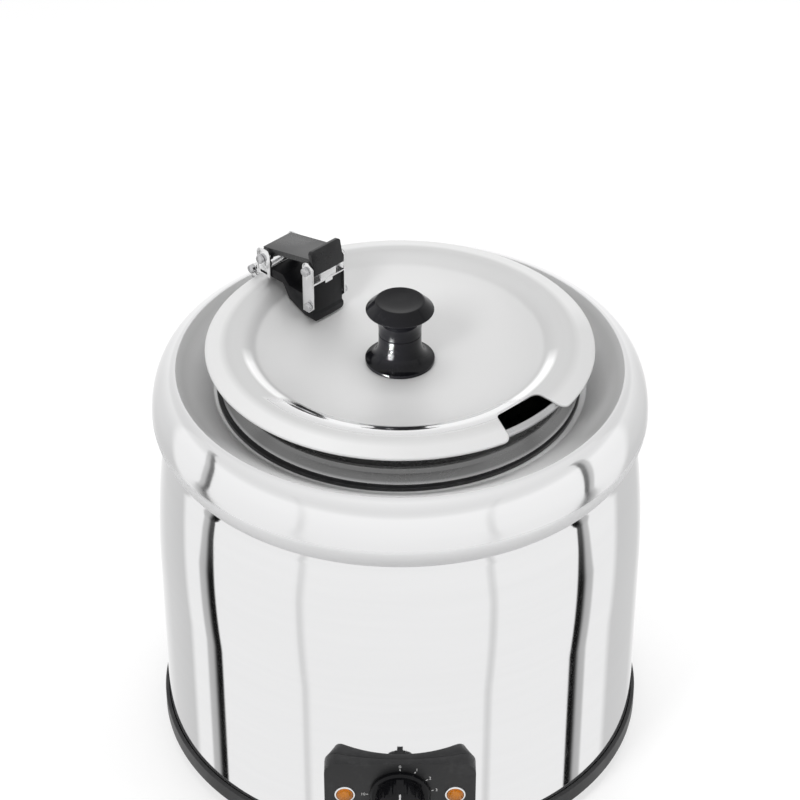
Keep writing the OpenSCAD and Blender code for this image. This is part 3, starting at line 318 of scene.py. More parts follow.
def makeHandMarks():  # cloth smears and hairline scratches
    look = markLook
    sizes = {"Smear Size": look["smearSize"], "Hairlines": look["hairlines"]}
    group, given, out = newGroup("handMarks", sizes, ["Smear", "Scratch"])
    place = put(group, "ShaderNodeTexCoord").outputs["Object"]
    smear = put(group, "ShaderNodeTexNoise", {"Vector": place, "Scale": given["Smear Size"],
        "Detail": 5, "Roughness": 0.6, "Distortion": 0.8})
    drawn = put(group, "ShaderNodeMapping",
        {"Vector": place, "Rotation": look["turned"], "Scale": look["drawn"]})
    hair = put(group, "ShaderNodeTexNoise", {"Vector": drawn.outputs[0], "Scale": given["Hairlines"],
        "Detail": 2, "Distortion": 1.2})
    group.links.new(within(group, smear.outputs["Fac"], *look["smear"]), out.inputs["Smear"])
    group.links.new(within(group, hair.outputs["Fac"], *look["hair"]), out.inputs["Scratch"])
    return group


def makeMouldGrain():  # the fine skin of moulded plastic and rubber, and dust on it
    look = grainLook
    sizes = {"Per Metre": look["perMetre"], "Dust": look["dust"]}
    group, given, out = newGroup("mouldGrain", sizes, ["Grain", "Dust"])
    place = put(group, "ShaderNodeTexCoord").outputs["Object"]
    grain = put(group, "ShaderNodeTexVoronoi", {"Vector": place, "Scale": given["Per Metre"]},
        feature="SMOOTH_F1")
    dust = put(group, "ShaderNodeTexNoise",
        {"Vector": place, "Scale": look["dustSize"], "Detail": 6, "Roughness": 0.7})
    thin = within(group, dust.outputs["Fac"], *look["dusty"])
    group.links.new(grain.outputs["Distance"], out.inputs["Grain"])
    group.links.new(calc(group, "MULTIPLY", thin, given["Dust"]), out.inputs["Dust"])
    return group


latheLines = makeLatheLines()
handMarks = makeHandMarks()
mouldGrain = makeMouldGrain()


def newFinish(name, plain):
    material = bpy.data.materials.new(name)
    material.use_nodes = True
    tree = material.node_tree
    tree.nodes.clear()
    skin = put(tree, "ShaderNodeBsdfPrincipled", plain)
    put(tree, "ShaderNodeOutputMaterial", {"Surface": skin.outputs[0]})
    return material, tree, skin


def fedBy(skin, label):
    return skin.inputs[label].links[0].from_socket


def spread(tree, value, low, high):
    limits = {"Value": value, "To Min": low, "To Max": high}
    return put(tree, "ShaderNodeMapRange", limits).outputs["Result"]


def relief(tree, skin, height, depth, strength):
    node = put(tree, "ShaderNodeBump", {"Height": height, "Distance": depth, "Strength": strength})
    tree.links.new(node.outputs[0], skin.inputs["Normal"])


steelWear = {"dull": 0.96, "smear": 0.5, "scratch": 0.03, "relief": 0.3}
mouldWear = {"dust": 0.05, "relief": 0.5}
brightSteel = (0.9, 0.9, 0.905, 1)


def spunSteel(name, shade, rough, lineDepth, perMetre=2200):
    material, tree, skin = newFinish(name, {"Metallic": 1})
    lines = put(tree, "ShaderNodeGroup", node_tree=latheLines)
    lines.inputs["Per Metre"].default_value = perMetre
    marks = put(tree, "ShaderNodeGroup", node_tree=handMarks)
    dull = tuple(steelWear["dull"] * c for c in shade[:3]) + (1,)
    tree.links.new(tint(tree, lines.outputs["Sheen"], shade, dull), skin.inputs["Base Color"])
    worn = spread(tree, lines.outputs["Lines"], *rough)
    worn = calc(tree, "MULTIPLY_ADD", marks.outputs["Smear"], steelWear["smear"] * rough[0], worn)
    worn = calc(tree, "MULTIPLY_ADD", marks.outputs["Scratch"], steelWear["scratch"], worn)
    tree.links.new(worn, skin.inputs["Roughness"])
    relief(tree, skin, lines.outputs["Lines"], lineDepth, steelWear["relief"])
    return material, tree, skin


# pairs are where a mask starts and where it is full, in metres of radius, depth or height
collarLook = {
    "satin": (0.1552, 0.1545), "deep": (0.15, 0.128), "front": (-0.08, -0.14),
    "lip": (0.2745, 0.2705), "brow": (0.284, 0.276),
    "funnelTop": 0.42, "funnelFootPaintedLight": 0.8, "funnelFrontPaintedLight": 0.85,
    "satinMetal": 0.3, "lipMetal": -0.5, "satinRough": 0.42, "browRough": 0.1, "lipRough": 0.42,
}


def collarSteel():  # bright crown, satin funnel with painted light at its foot and front, ledge and turned-in lip
    look = collarLook
    material, tree, skin = spunSteel("collarSteel", brightSteel, (0.05, 0.08), 2e-6)
    radius, turn, height = fromAxis(tree)
    along = calc(tree, "MULTIPLY", calc(tree, "SINE", turn), radius)
    satin = within(tree, radius, *look["satin"])
    front = within(tree, along, *look["front"])
    lip = within(tree, height, *look["lip"])
    brow = within(tree, height, *look["brow"])
    # painted light: the funnel is painted lighter towards its foot and at the front, to lift the shade that
    # pot and lid cast there
    deep = within(tree, radius, *look["deep"])
    funnel = tint(tree, deep, grey(look["funnelTop"]), grey(look["funnelFootPaintedLight"]))
    funnel = tint(tree, front, funnel, grey(look["funnelFrontPaintedLight"]))
    shade = tint(tree, satin, fedBy(skin, "Base Color"), funnel)
    metal = spread(tree, satin, 1, look["satinMetal"])
    metal = calc(tree, "MULTIPLY_ADD", lip, look["lipMetal"], metal)
    rough = calc(tree, "MULTIPLY_ADD", satin, look["satinRough"], fedBy(skin, "Roughness"))
    rough = calc(tree, "MULTIPLY_ADD", brow, look["browRough"], rough)
    rough = calc(tree, "MULTIPLY_ADD", lip, look["lipRough"], rough)
    tree.links.new(shade, skin.inputs["Base Color"])
    tree.links.new(metal, skin.inputs["Metallic"])
    tree.links.new(rough, skin.inputs["Roughness"])
    return material


# as above; right and left are turns in radians
lidLook = {
    "dish": (0.1, 0.0975), "slope": (0.114, 0.116), "rear": (-0.078, -0.07),
    "crestIn": (0.101, 0.1035), "crestOut": (0.1095, 0.107), "sides": (-0.012, -0.03),
    "right": (0.1, 0.35), "left": (-1.5, -2), "edgeReflection": (0.119, 0.1245), "edgeReflectionLeast": 0.45,
    "softGrey": 0.56, "edgeReflectionGrey": 0.72, "dishGrey": 0.58, "crestHighlightGrey": 0.96,
    "satinMetal": 0.5, "dishMetal": -0.3, "satinRough": 0.34,
}


def lidSteel():  # satin dish and slope, a painted highlight along the front of the crest, and a painted reflection on the slope's outer band
    look = lidLook
    material, tree, skin = spunSteel("lidSteel", (0.88, 0.88, 0.885, 1), (0.06, 0.09), 3e-6)
    radius, turn, height = fromAxis(tree)
    along = calc(tree, "MULTIPLY", calc(tree, "SINE", turn), radius)
    dish = within(tree, radius, *look["dish"])
    slope = within(tree, radius, *look["slope"])
    rear = within(tree, along, *look["rear"])
    satin = calc(tree, "MAXIMUM", calc(tree, "MAXIMUM", dish, slope), rear)
    # painted highlight: along the front the crest is painted near white
    crestIn = within(tree, radius, *look["crestIn"])
    crest = calc(tree, "MULTIPLY", crestIn, within(tree, radius, *look["crestOut"]))
    sides = calc(tree, "MULTIPLY", rear, within(tree, along, *look["sides"]))
    crestHighlight = calc(tree, "MULTIPLY", crest, sides)
    # painted reflection: the outer band of the slope is painted lighter towards the right and the left
    right = within(tree, turn, *look["right"])
    outer = calc(tree, "MAXIMUM", right, within(tree, turn, *look["left"]))
    outer = spread(tree, outer, look["edgeReflectionLeast"], 1)
    edgeReflection = calc(tree, "MULTIPLY", within(tree, radius, *look["edgeReflection"]), outer)
    soft = tint(tree, edgeReflection, grey(look["softGrey"]), grey(look["edgeReflectionGrey"]))
    soft = tint(tree, dish, soft, grey(look["dishGrey"]))
    shade = tint(tree, satin, fedBy(skin, "Base Color"), soft)
    shade = tint(tree, crestHighlight, shade, grey(look["crestHighlightGrey"]))
    metal = spread(tree, satin, 1, look["satinMetal"])
    metal = calc(tree, "MULTIPLY_ADD", dish, look["dishMetal"], metal)
    rough = calc(tree, "MULTIPLY_ADD", satin, look["satinRough"], fedBy(skin, "Roughness"))
    tree.links.new(shade, skin.inputs["Base Color"])
    tree.links.new(metal, skin.inputs["Metallic"])
    tree.links.new(rough, skin.inputs["Roughness"])
    return material


potLook = {"neckFoot": (0.2915, 0.2935), "neckTop": (0.3165, 0.3145), "neckShadeGrey": 0.2}


def potSteel():  # satin bowl and rim, with painted shade that darkens the neck under the lid
    look = potLook
    material, tree, skin = spunSteel("potSteel", (0.55, 0.55, 0.555, 1), (0.2, 0.3), 6e-6, 1400)
    height = fromAxis(tree)[2]
    # painted shade: the neck under the lid is painted dark grey
    neck = within(tree, height, *look["neckFoot"])
    neck = calc(tree, "MULTIPLY", neck, within(tree, height, *look["neckTop"]))
    shade = tint(tree, neck, fedBy(skin, "Base Color"), grey(look["neckShadeGrey"]))
    tree.links.new(shade, skin.inputs["Base Color"])
    return material


def moulded(name, shade, rough, grainDepth, dust, perMetre=2600, shine=0.5):
    material, tree, skin = newFinish(name, {"Specular IOR Level": shine})
    grain = put(tree, "ShaderNodeGroup", {"Per Metre": perMetre, "Dust": dust}, node_tree=mouldGrain)
    marks = put(tree, "ShaderNodeGroup", node_tree=handMarks)
    dusty = tuple(c + mouldWear["dust"] for c in shade[:3]) + (1,)
    tree.links.new(tint(tree, grain.outputs["Dust"], shade, dusty), skin.inputs["Base Color"])
    tree.links.new(spread(tree, marks.outputs["Smear"], *rough), skin.inputs["Roughness"])
    relief(tree, skin, grain.outputs["Grain"], grainDepth, mouldWear["relief"])
    return material


amberLook = {"clean": (0.9, 0.3, 0.02, 1), "dusty": (0.95, 0.45, 0.12, 1), "depth": 4e-5, "relief": 0.4}


def clearAmber():
    plain = {"Roughness": 0.12, "IOR": 1.49, "Transmission Weight": 0.35}
    material, tree, skin = newFinish("lampAmber", plain)
    grain = put(tree, "ShaderNodeGroup", {"Per Metre": 900, "Dust": 0.3}, node_tree=mouldGrain)
    shade = tint(tree, grain.outputs["Dust"], amberLook["clean"], amberLook["dusty"])
    tree.links.new(shade, skin.inputs["Base Color"])
    relief(tree, skin, grain.outputs["Grain"], amberLook["depth"], amberLook["relief"])
    return material


def printInk():
    material, tree, skin = newFinish("dialPrint", {"Roughness": 0.5})
    grain = put(tree, "ShaderNodeGroup", {"Per Metre": 4000, "Dust": 0.6}, node_tree=mouldGrain)
    tree.links.new(tint(tree, grain.outputs["Dust"], grey(0.78), grey(0.6)), skin.inputs["Base Color"])
    return material


# steel: colour, roughness from and to, depth of the lines, lines per metre
# mouldings: colour, roughness from and to, depth of the grain, dust, grains per metre, shine
finish = {
    "polished": spunSteel("polishedSteel", brightSteel, (0.03, 0.06), 2e-6)[0],
    "lidSteel": lidSteel(),
    "collar": collarSteel(),
    "satin": spunSteel("satinSteel", (0.5, 0.5, 0.505, 1), (0.2, 0.3), 6e-6, 1400)[0],
    "pot": potSteel(),
    "clip": spunSteel("clipSteel", brightSteel, (0.12, 0.17), 6e-7, 900)[0],
    # painted shade: the pins are painted darker than the cheeks, for the shading round the pin heads
    "pin": spunSteel("pinSteel", (0.6, 0.6, 0.61, 1), (0.14, 0.2), 6e-7, 900)[0],
    "fastener": spunSteel("fastenerSteel", (0.7, 0.7, 0.72, 1), (0.2, 0.32), 5e-6, 1500)[0],
    "heater": spunSteel("heaterSteel", (0.25, 0.24, 0.23, 1), (0.35, 0.5), 1e-5, 700)[0],
    "copper": spunSteel("bulbCopper", (0.85, 0.47, 0.3, 1), (0.22, 0.35), 6e-6, 900)[0],
    "gloss": moulded("blackGloss", (0.004, 0.004, 0.005, 1), (0.13, 0.16), 2e-6, 0.15, 1800, 0.2),
    "clipBlack": moulded("clipBlack", (0.006, 0.006, 0.007, 1), (0.26, 0.34), 4e-6, 0.25, 2200, 0.42),
    "saddleBlack": moulded("saddleBlack", (0.005, 0.005, 0.006, 1), (0.34, 0.42), 4e-6, 0.2, 2200, 0.22),
    "matt": moulded("blackMatt", (0.012, 0.012, 0.013, 1), (0.34, 0.46), 2e-5, 0.5, 2600, 0.45),
    "rubber": moulded("footRubber", grey(0.02), (0.6, 0.75), 5e-5, 1.0, 1600),
    "cream": moulded("thermostatCase", (0.62, 0.58, 0.48, 1), (0.4, 0.5), 2e-5, 0.4),
    "wire": moulded("wireRed", (0.42, 0.03, 0.025, 1), (0.35, 0.45), 1e-5, 0.4),
    "amber": clearAmber(),
    "ink": printInk(),
}
print("finishes:", len(finish))


# shared ways of making a piece

def bendLine(start, pull, stop, count):
    points = []
    for k in range(count + 1):
        t = k / count
        s = 1 - t
        points.append(tuple(s ** 2 * a + 2 * t * s * b + t * t * c for a, b, c in zip(start, pull, stop)))
    return points


def arcLine(middle, wide, tall, first, last, count):
    points = []
    for k in range(count + 1):
        a = math.radians(first + (last - first) * k / count)
        points.append((middle[0] + wide * math.cos(a), middle[1] + tall * math.sin(a)))
    return points


def roundPath(points, closed=False, count=5, hold=0.25):
    path = []
    for i, point in enumerate(points):
        here = Vector(point[:2])
        radius = point[2] if len(point) > 2 else 0
        if not radius or (not closed and i in (0, len(points) - 1)):
            path.append(tuple(here))
            continue
        before = Vector(points[i - 1][:2]) - here
        after = Vector(points[(i + 1) % len(points)][:2]) - here
        half = before.angle(after) / 2
        reach = radius / math.tan(half)
        start = here + before.normalized() * reach
        stop = here + after.normalized() * reach
        middle = here + (before.normalized() + after.normalized()).normalized() * radius / math.sin(half)
        if before.length > reach + 2 * hold:
            path.append(tuple(start + before.normalized() * hold))
        for k in range(count + 1):
            way = (start - middle).slerp(stop - middle, k / count)
            path.append(tuple(middle + radius * way.normalized()))
        if after.length > reach + 2 * hold:
            path.append(tuple(stop + after.normalized() * hold))
    return path


def latheMesh(name, path, steps=192, closed=True):  # path in millimetres, as (radius, height)
    verts = []
    rings = []
    for r, z in path:
        if r < 1e-6:
            rings.append([len(verts)] * steps)
            verts.append((0, 0, z * mm))
            continue
        rings.append(list(range(len(verts), len(verts) + steps)))
        for k in range(steps):
            a = 2 * math.pi * k / steps
            verts.append((r * mm * math.cos(a), r * mm * math.sin(a), z * mm))
    faces = []
    pairs = list(zip(rings, rings[1:]))
    if closed:
        pairs.append((rings[-1], rings[0]))
    for a, b in pairs:
        for k in range(steps):
            n = (k + 1) % steps
            corners = list(dict.fromkeys((a[k], a[n], b[n], b[k])))
            if len(corners) > 2:
                faces.append(corners)
    mesh = bpy.data.meshes.new(name)
    mesh.from_pydata(verts, [], faces)
    return cleanMesh(mesh)


def cleanMesh(mesh, merge=1e-7):
    bm = bmesh.new()
    bm.from_mesh(mesh)
    bmesh.ops.remove_doubles(bm, verts=bm.verts, dist=merge)
    bmesh.ops.recalc_face_normals(bm, faces=bm.faces)
    bm.to_mesh(mesh)
    bm.free()
    return mesh


def addPiece(name, mesh, look, body, slot, *replaced, crease=38):
    mesh.name = name
    mesh.materials.clear()
    mesh.materials.append(finish[look])
    mesh.shade_smooth()
    mesh.set_sharp_from_angle(angle=math.radians(crease))
    piece = bpy.data.objects.new(name, mesh)
    scene.collection.objects.link(piece)
    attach(piece, body)
    if replaced:
        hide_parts(*replaced)
    return piece


def evaluated(holder):
    graph = bpy.context.evaluated_depsgraph_get()
    mesh = bpy.data.meshes.new_from_object(holder.evaluated_get(graph))
    bpy.data.objects.remove(holder)
    return mesh


easing = {"merge": 2e-6, "flat": 0.6, "sharp": 35, "steps": 3, "wideSteps": 5, "cornerSteps": 7}


def softCopy(node, width, corners=None):  # the node's own shape with its edges eased
    mesh = bpy.data.meshes.new(node + "Soft")
    bm = bmesh.new()
    bm.from_mesh(cad[node].data)
    bmesh.ops.remove_doubles(bm, verts=bm.verts, dist=easing["merge"])
    flat = math.radians(easing["flat"])
    bmesh.ops.dissolve_limit(bm, angle_limit=flat, verts=bm.verts, edges=bm.edges)
    if corners:  # round the corners at the top or the foot of the shape
        heights = [v.co.z for v in bm.verts]
        level = max(heights) if corners["end"] == "top" else min(heights)
        short = [e for e in bm.edges if e.calc_length() < corners["edge"] * mm
            and all(abs(v.co.z - level) < corners["near"] * mm for v in e.verts)]
        bmesh.ops.bevel(bm, geom=short, offset=corners["radius"] * mm, segments=easing["cornerSteps"],
            profile=0.5, affect="EDGES")
    bm.to_mesh(mesh)
    bm.free()
    holder = bpy.data.objects.new(node + "Soft", mesh)
    scene.collection.objects.link(holder)
    if width:
        bevel = holder.modifiers.new("ease", "BEVEL")
        bevel.width = width * mm
        bevel.segments = easing["wideSteps"] if width > 1 else easing["steps"]
        bevel.limit_method = "ANGLE"
        bevel.angle_limit = math.radians(easing["sharp"])
    return evaluated(holder)


def dressNodes(parts, corners):  # parts are node: (piece, finish, body, slot, width of the eased edge)
    for node, (name, look, body, slot, width) in parts.items():
        addPiece(name, softCopy(node, width, corners.get(node)), look, body, slot, node)


def joinMeshes(name, meshes):
    bm = bmesh.new()
    for mesh in meshes:
        bm.from_mesh(mesh)
    joined = bpy.data.meshes.new(name)
    bm.to_mesh(joined)
    bm.free()
    return joined


# geometry node trees for what repeats

def newTree(name, inputs):
    tree = bpy.data.node_groups.new(name, "GeometryNodeTree")
    tree.interface.new_socket("Geometry", in_out="INPUT", socket_type="NodeSocketGeometry")
    for label, kind in inputs.items():
        tree.interface.new_socket(label, in_out="INPUT", socket_type="NodeSocket" + kind)
    tree.interface.new_socket("Geometry", in_out="OUTPUT", socket_type="NodeSocketGeometry")
    return tree, tree.nodes.new("NodeGroupInput").outputs, tree.nodes.new("NodeGroupOutput")


def placeCopies(tree, given, out, shape):
    axis = put(tree, "GeometryNodeInputNamedAttribute", {"Name": "axis"}, data_type="FLOAT_VECTOR")
    turn = put(tree, "FunctionNodeAlignRotationToVector", {"Vector": axis.outputs["Attribute"]}, axis="Z")
    copies = put(tree, "GeometryNodeInstanceOnPoints",
        {"Points": given["Geometry"], "Instance": shape, "Rotation": turn.outputs[0]})
    real = put(tree, "GeometryNodeRealizeInstances", {"Geometry": copies.outputs[0]})
    dressed = put(tree, "GeometryNodeSetMaterial",
        {"Geometry": real.outputs[0], "Material": given["Finish"]})
    tree.links.new(dressed.outputs[0], out.inputs["Geometry"])


def raised(tree, shape, height):
    way = put(tree, "ShaderNodeCombineXYZ", {"Z": height}).outputs[0]
    values = {"Geometry": shape.outputs["Mesh"], "Translation": way}
    return put(tree, "GeometryNodeTransform", values).outputs[0]


panHead = {
    "sides": 40, "rimShare": 0.55, "crownShare": 0.45, "crownWide": 0.68, "recessLong": 1.15,
    "shankSides": 24,
}


def screwTree():  # pan head with a cross recess, on a plain shank; +Z of a copy points out of the head
    h = panHead
    tree, given, out = newTree("panScrews", {
        "Head Radius": "Float", "Head Height": "Float", "Shank Radius": "Float",
        "Shank Length": "Float", "Recess": "Float", "Finish": "Material"})
    wide, tall, recess = given["Head Radius"], given["Head Height"], given["Recess"]
    low = calc(tree, "MULTIPLY", tall, h["rimShare"])
    rim = put(tree, "GeometryNodeMeshCylinder", {"Vertices": h["sides"], "Radius": wide, "Depth": low})
    rimAt = raised(tree, rim, calc(tree, "MULTIPLY", low, 0.5))
    crown = put(tree, "GeometryNodeMeshCone", {"Vertices": h["sides"],
        "Radius Top": calc(tree, "MULTIPLY", wide, h["crownWide"]), "Radius Bottom": wide,
        "Depth": calc(tree, "MULTIPLY", tall, h["crownShare"])})
    cut = put(tree, "GeometryNodeMeshBoolean", operation="DIFFERENCE")
    tree.links.new(raised(tree, crown, low), cut.inputs["Mesh 1"])
    long = calc(tree, "MULTIPLY", wide, h["recessLong"])
    for x, y in ((long, recess), (recess, long)):
        size = put(tree, "ShaderNodeCombineXYZ", {"X": x, "Y": y, "Z": tall})
        bar = put(tree, "GeometryNodeMeshCube", {"Size": size.outputs[0]})
        tree.links.new(raised(tree, bar, tall), cut.inputs["Mesh 2"])
    length = given["Shank Length"]
    shank = put(tree, "GeometryNodeMeshCylinder",
        {"Vertices": h["shankSides"], "Radius": given["Shank Radius"], "Depth": length})
    shankAt = raised(tree, shank, calc(tree, "MULTIPLY", length, -0.5))
    joined = put(tree, "GeometryNodeJoinGeometry")
    for part in (rimAt, cut.outputs[0], shankAt):
        tree.links.new(part, joined.inputs[0])
    placeCopies(tree, given, out, joined.outputs[0])
    return tree


def copyTree():  # any finished shape, repeated at points
    tree, given, out = newTree("repeatShape", {"Shape": "Object", "Finish": "Material"})
    shape = put(tree, "GeometryNodeObjectInfo", {"Object": given["Shape"]})
    placeCopies(tree, given, out, shape.outputs["Geometry"])
    return tree


def tickTree():  # straight strokes and ribs, long side along +Z of a copy
    tree, given, out = newTree("dialTicks",
        {"Stroke": "Float", "Length": "Float", "Ink": "Float", "Finish": "Material"})
    size = put(tree, "ShaderNodeCombineXYZ",
        {"X": given["Stroke"], "Y": given["Ink"], "Z": given["Length"]})
    stroke = put(tree, "GeometryNodeMeshCube", {"Size": size.outputs[0]})
    placeCopies(tree, given, out, stroke.outputs["Mesh"])
    return tree


def growTree(tree, places, values):  # places are (point, axis) in metres
    points = bpy.data.meshes.new(tree.name + "Points")
    points.from_pydata([tuple(p) for p, axis in places], [], [])
    axes = points.attributes.new("axis", "FLOAT_VECTOR", "POINT")
    for entry, (p, axis) in zip(axes.data, places):
        entry.vector = axis
    holder = bpy.data.objects.new(tree.name + "Holder", points)
    scene.collection.objects.link(holder)
    grow = holder.modifiers.new("grow", "NODES")
    grow.node_group = tree
    for item in tree.interface.items_tree:
        if item.in_out == "INPUT" and item.name in values:
            grow[item.identifier] = values[item.name]
    return evaluated(holder)


panScrews = screwTree()
repeatShape = copyTree()
dialTicks = tickTree()
screw = {"head": 3, "tall": 2, "shank": 1.5, "recess": 0.8}


def addScrews(name, spots, length, node):
    sizes = {"Head Radius": screw["head"] * mm, "Head Height": screw["tall"] * mm,
        "Shank Radius": screw["shank"] * mm, "Shank Length": length, "Recess": screw["recess"] * mm}
    mesh = growTree(panScrews, spots, {**sizes, "Finish": finish["fastener"]})
    addPiece(name, mesh, "fastener", "kettle", "fastener_steel", node)


def addCopies(name, mesh, spots, look, body, slot, *replaced):
    shape = bpy.data.objects.new(name + "Shape", mesh)
    scene.collection.objects.link(shape)
    grown = growTree(repeatShape, spots, {"Shape": shape, "Finish": finish[look]})
    bpy.data.objects.remove(shape)
    addPiece(name, grown, look, body, slot, *replaced)


def addStrokes(name, spots, wide, long, deep, look, body, slot):
    sizes = {"Stroke": wide * mm, "Length": long * mm, "Ink": deep * mm}
    addPiece(name, growTree(dialTicks, spots, {**sizes, "Finish": finish[look]}), look, body, slot)


def aroundBase(count, radius, level, axis):
    spots = []
    for k in range(count):
        a = 2 * math.pi * (k + 0.5) / count
        spots.append((Vector((radius * math.cos(a), radius * math.sin(a), level)) * mm, axis))
    return spots


# body: wall, collar, base

shell = {
    "belly": 173, "bellyTop": 147, "foot": 12, "neck": 165.2, "lip": 252, "top": 259, "sheet": 1,
    "seamWide": 2.2, "seamDeep": 0.25, "straightSteps": 8, "curveSteps": 32,
}
collar = {
    "widest": 172.5, "level": 272, "crest": 155.5, "crestRise": 33, "lipRadius": 166.5, "lipDrop": 15,
    "brim": 0.6, "brimRound": 0.5, "funnel": 129, "funnelRound": 2.5, "ledge": 288.5, "throat": 120,
    "throatRound": 1.2, "skirt": 12, "sheet": 1,
}
base = {"inner": 148, "outer": 176, "wall": 2.7, "low": 9, "floor": 12, "top": 22}
foot = {
    "count": 4, "ring": 128, "sole": 13, "flare": 15, "tall": 7.8, "dimple": 4, "dimpleEdge": 4.6,
    "dimpleDeep": 0.6, "stud": 4, "barb": 5.4, "barbFoot": 9.1, "barbTop": 12,
}
coverScrews = {"count": 6, "ring": 156.5, "level": 7.8, "length": 4.2}


def makeShell():
    s = shell
    straight, curve = s["straightSteps"], s["curveSteps"]
    tall = s["bellyTop"] - s["foot"]
    outside = [(s["belly"], s["foot"] + tall * k / straight) for k in range(straight + 1)]
    for k in range(1, curve + 1):
        t = k / curve
        radius = s["belly"] - (s["belly"] - s["neck"]) * t * t
        outside.append((radius, s["bellyTop"] + (s["lip"] - s["bellyTop"]) * t))
    outside.append((s["neck"], s["top"]))
    inside = [(r - s["sheet"], z) for r, z in reversed(outside)]
    mesh = latheMesh("wall", outside + inside, 256)
    for v in mesh.vertices:  # the welded seam is a shallow groove at the back
        off = abs(v.co.x) / (s["seamWide"] * mm)
        if v.co.y > 0 and off < 1:
            v.co.y -= s["seamDeep"] * mm * math.cos(off * math.pi / 2)
    addPiece("outerShell", mesh, "polished", "kettle", "polished_steel", "outer_shell")


def makeCollar():
    c = collar
    s = c["sheet"]
    top = c["level"] + c["crestRise"]
    skirt = c["ledge"] - c["skirt"]
    bulge = c["widest"] - c["crest"]
    middle = (c["crest"], c["level"])
    widest = (c["widest"], c["level"])
    lipEnd = (c["lipRadius"], c["level"] - c["lipDrop"])
    pull = (c["widest"], c["level"] - c["lipDrop"] / 2)
    crown = arcLine(middle, bulge, c["crestRise"], 0, 88, 40)
    outside = bendLine(lipEnd, pull, widest, 20)[:-1] + crown
    seat = roundPath([crown[-1], (c["crest"] - c["brim"], top, c["brimRound"]),
        (c["funnel"], c["ledge"], c["funnelRound"]), (c["throat"], c["ledge"], c["throatRound"]),
        (c["throat"], skirt)])[1:]
    under = [(c["throat"] + s, skirt), (c["throat"] + s, c["ledge"] - s),
        (c["funnel"] + s / 2, c["ledge"] - s), (c["crest"], top - 1.4 * s)]
    inner = arcLine(middle, bulge - s, c["crestRise"] - s, 84, 0, 24)
    innerLip = bendLine(*((r - s, z) for r, z in (widest, pull, lipEnd)), 10)[1:]
    mesh = latheMesh("collar", outside + seat + under + inner + innerLip, 256)
    addPiece("topCollar", mesh, "collar", "kettle", "polished_steel", "top_collar")


def makeBase():
    b = base
    step = b["outer"] - b["wall"]
    path = roundPath([(b["inner"], b["low"], 0.5), (b["outer"], b["low"], 1.2), (b["outer"], b["top"], 1.2),
        (step, b["top"], 0.4), (step, b["floor"], 0.4), (b["inner"], b["floor"], 0.5)], closed=True)
    addPiece("baseRing", latheMesh("ring", path, 192), "matt", "kettle", "black_matte", "base_ring")


def makeFeet():
    f = foot
    sole = roundPath([(0, f["dimpleDeep"]), (f["dimple"], f["dimpleDeep"], 0.4), (f["dimpleEdge"], 0, 0.3),
        (f["sole"], 0, 1.2), (f["flare"], f["tall"], 0.8), (f["stud"], f["tall"]), (f["stud"], f["barbFoot"]),
        (f["barb"], f["barbFoot"], 0.3), (f["stud"] - 1, f["barbTop"], 0.5), (0, f["barbTop"])])
    spots = aroundBase(f["count"], f["ring"], 0, (0, 0, 1))
    mesh = latheMesh("footShape", sole, 48, closed=False)
    addCopies("rubberFeet", mesh, spots, "rubber", "kettle", "foot_rubber", "feet")


def makeCoverScrews():
    c = coverScrews
    spots = aroundBase(c["count"], c["ring"], c["level"], (0, 0, -1))
    addScrews("coverScrews", spots, c["length"] * mm, "cover_screws")


makeShell()
makeCollar()
makeBase()
makeFeet()
makeCoverScrews()
print("body: wall, collar, base ring, feet, cover screws")


# pot

pot = {
    "inner": 115, "sheet": 1, "bottom": 85, "corner": 18, "seat": 288.8, "flange": 124, "flangeEdge": 3.2,
    "neck": 117, "neckTop": 302, "neckBend": 6, "fillet": 118.7, "filletTop": 297, "filletRise": 2.2,
    "rimMiddle": 125, "rim": 318.2, "roll": 2.8,
}
# a black ring painted into the shaded gap between flange and funnel, set off centre towards the front left
# where that shade is widest
seal = {"proud": 1.8, "shift": (-0.9, -1.8), "lift": 0.1, "below": 0.5, "round": 0.3}


def makePot():
    p = pot
    wall = p["inner"] + p["sheet"]
    low = p["bottom"] - p["sheet"]
    top = p["rimMiddle"] - p["roll"]
    outside = roundPath([(0, low), (wall, low, p["corner"]), (wall, p["seat"], 0.6),
        (p["flange"], p["seat"], 0.5), (p["flange"], p["seat"] + p["flangeEdge"], 0.8),
        (p["fillet"], p["filletTop"], 2.5), (p["neck"], p["filletTop"] + p["filletRise"], 2),
        (p["neck"], p["neckTop"], p["neckBend"]), (top, p["rim"] - 1.6)], count=8)
    roll = arcLine((p["rimMiddle"], p["rim"]), p["roll"], p["roll"], 208, 530, 36)
    inside = roundPath([(top - 0.9, p["rim"] - 1.2), (p["neck"] - 1.1, p["neckTop"], p["neckBend"]),
        (p["inner"], p["filletTop"], 4), (p["inner"], p["bottom"], p["corner"] - 1),
        (0, p["bottom"])], count=8)
    mesh = latheMesh("pot", outside + roll + inside, 224, closed=False)
    addPiece("soupPot", mesh, "pot", "pot", "satin_steel", "soup_pot")


def makeSeal():  # painted shadow: a thin black ring around the flange that stands for the shaded gap, a little off centre
    outer = pot["flange"] + seal["proud"]
    inner = pot["flange"] - seal["proud"] - 1
    low = pot["seat"] + seal["lift"]
    high = pot["seat"] + pot["flangeEdge"] - seal["below"]
    path = roundPath([(inner, low), (outer, low, seal["round"]), (outer, high, seal["round"]), (inner, high)])
    mesh = latheMesh("seal", path, 192)
    mesh.transform(Matrix.Translation(Vector((*seal["shift"], 0)) * mm))
    addPiece("flangeSeal", mesh, "matt", "pot", "foot_rubber")


makePot()
makeSeal()
print("pot: bowl, flange, neck, rolled rim, seal")


# lid

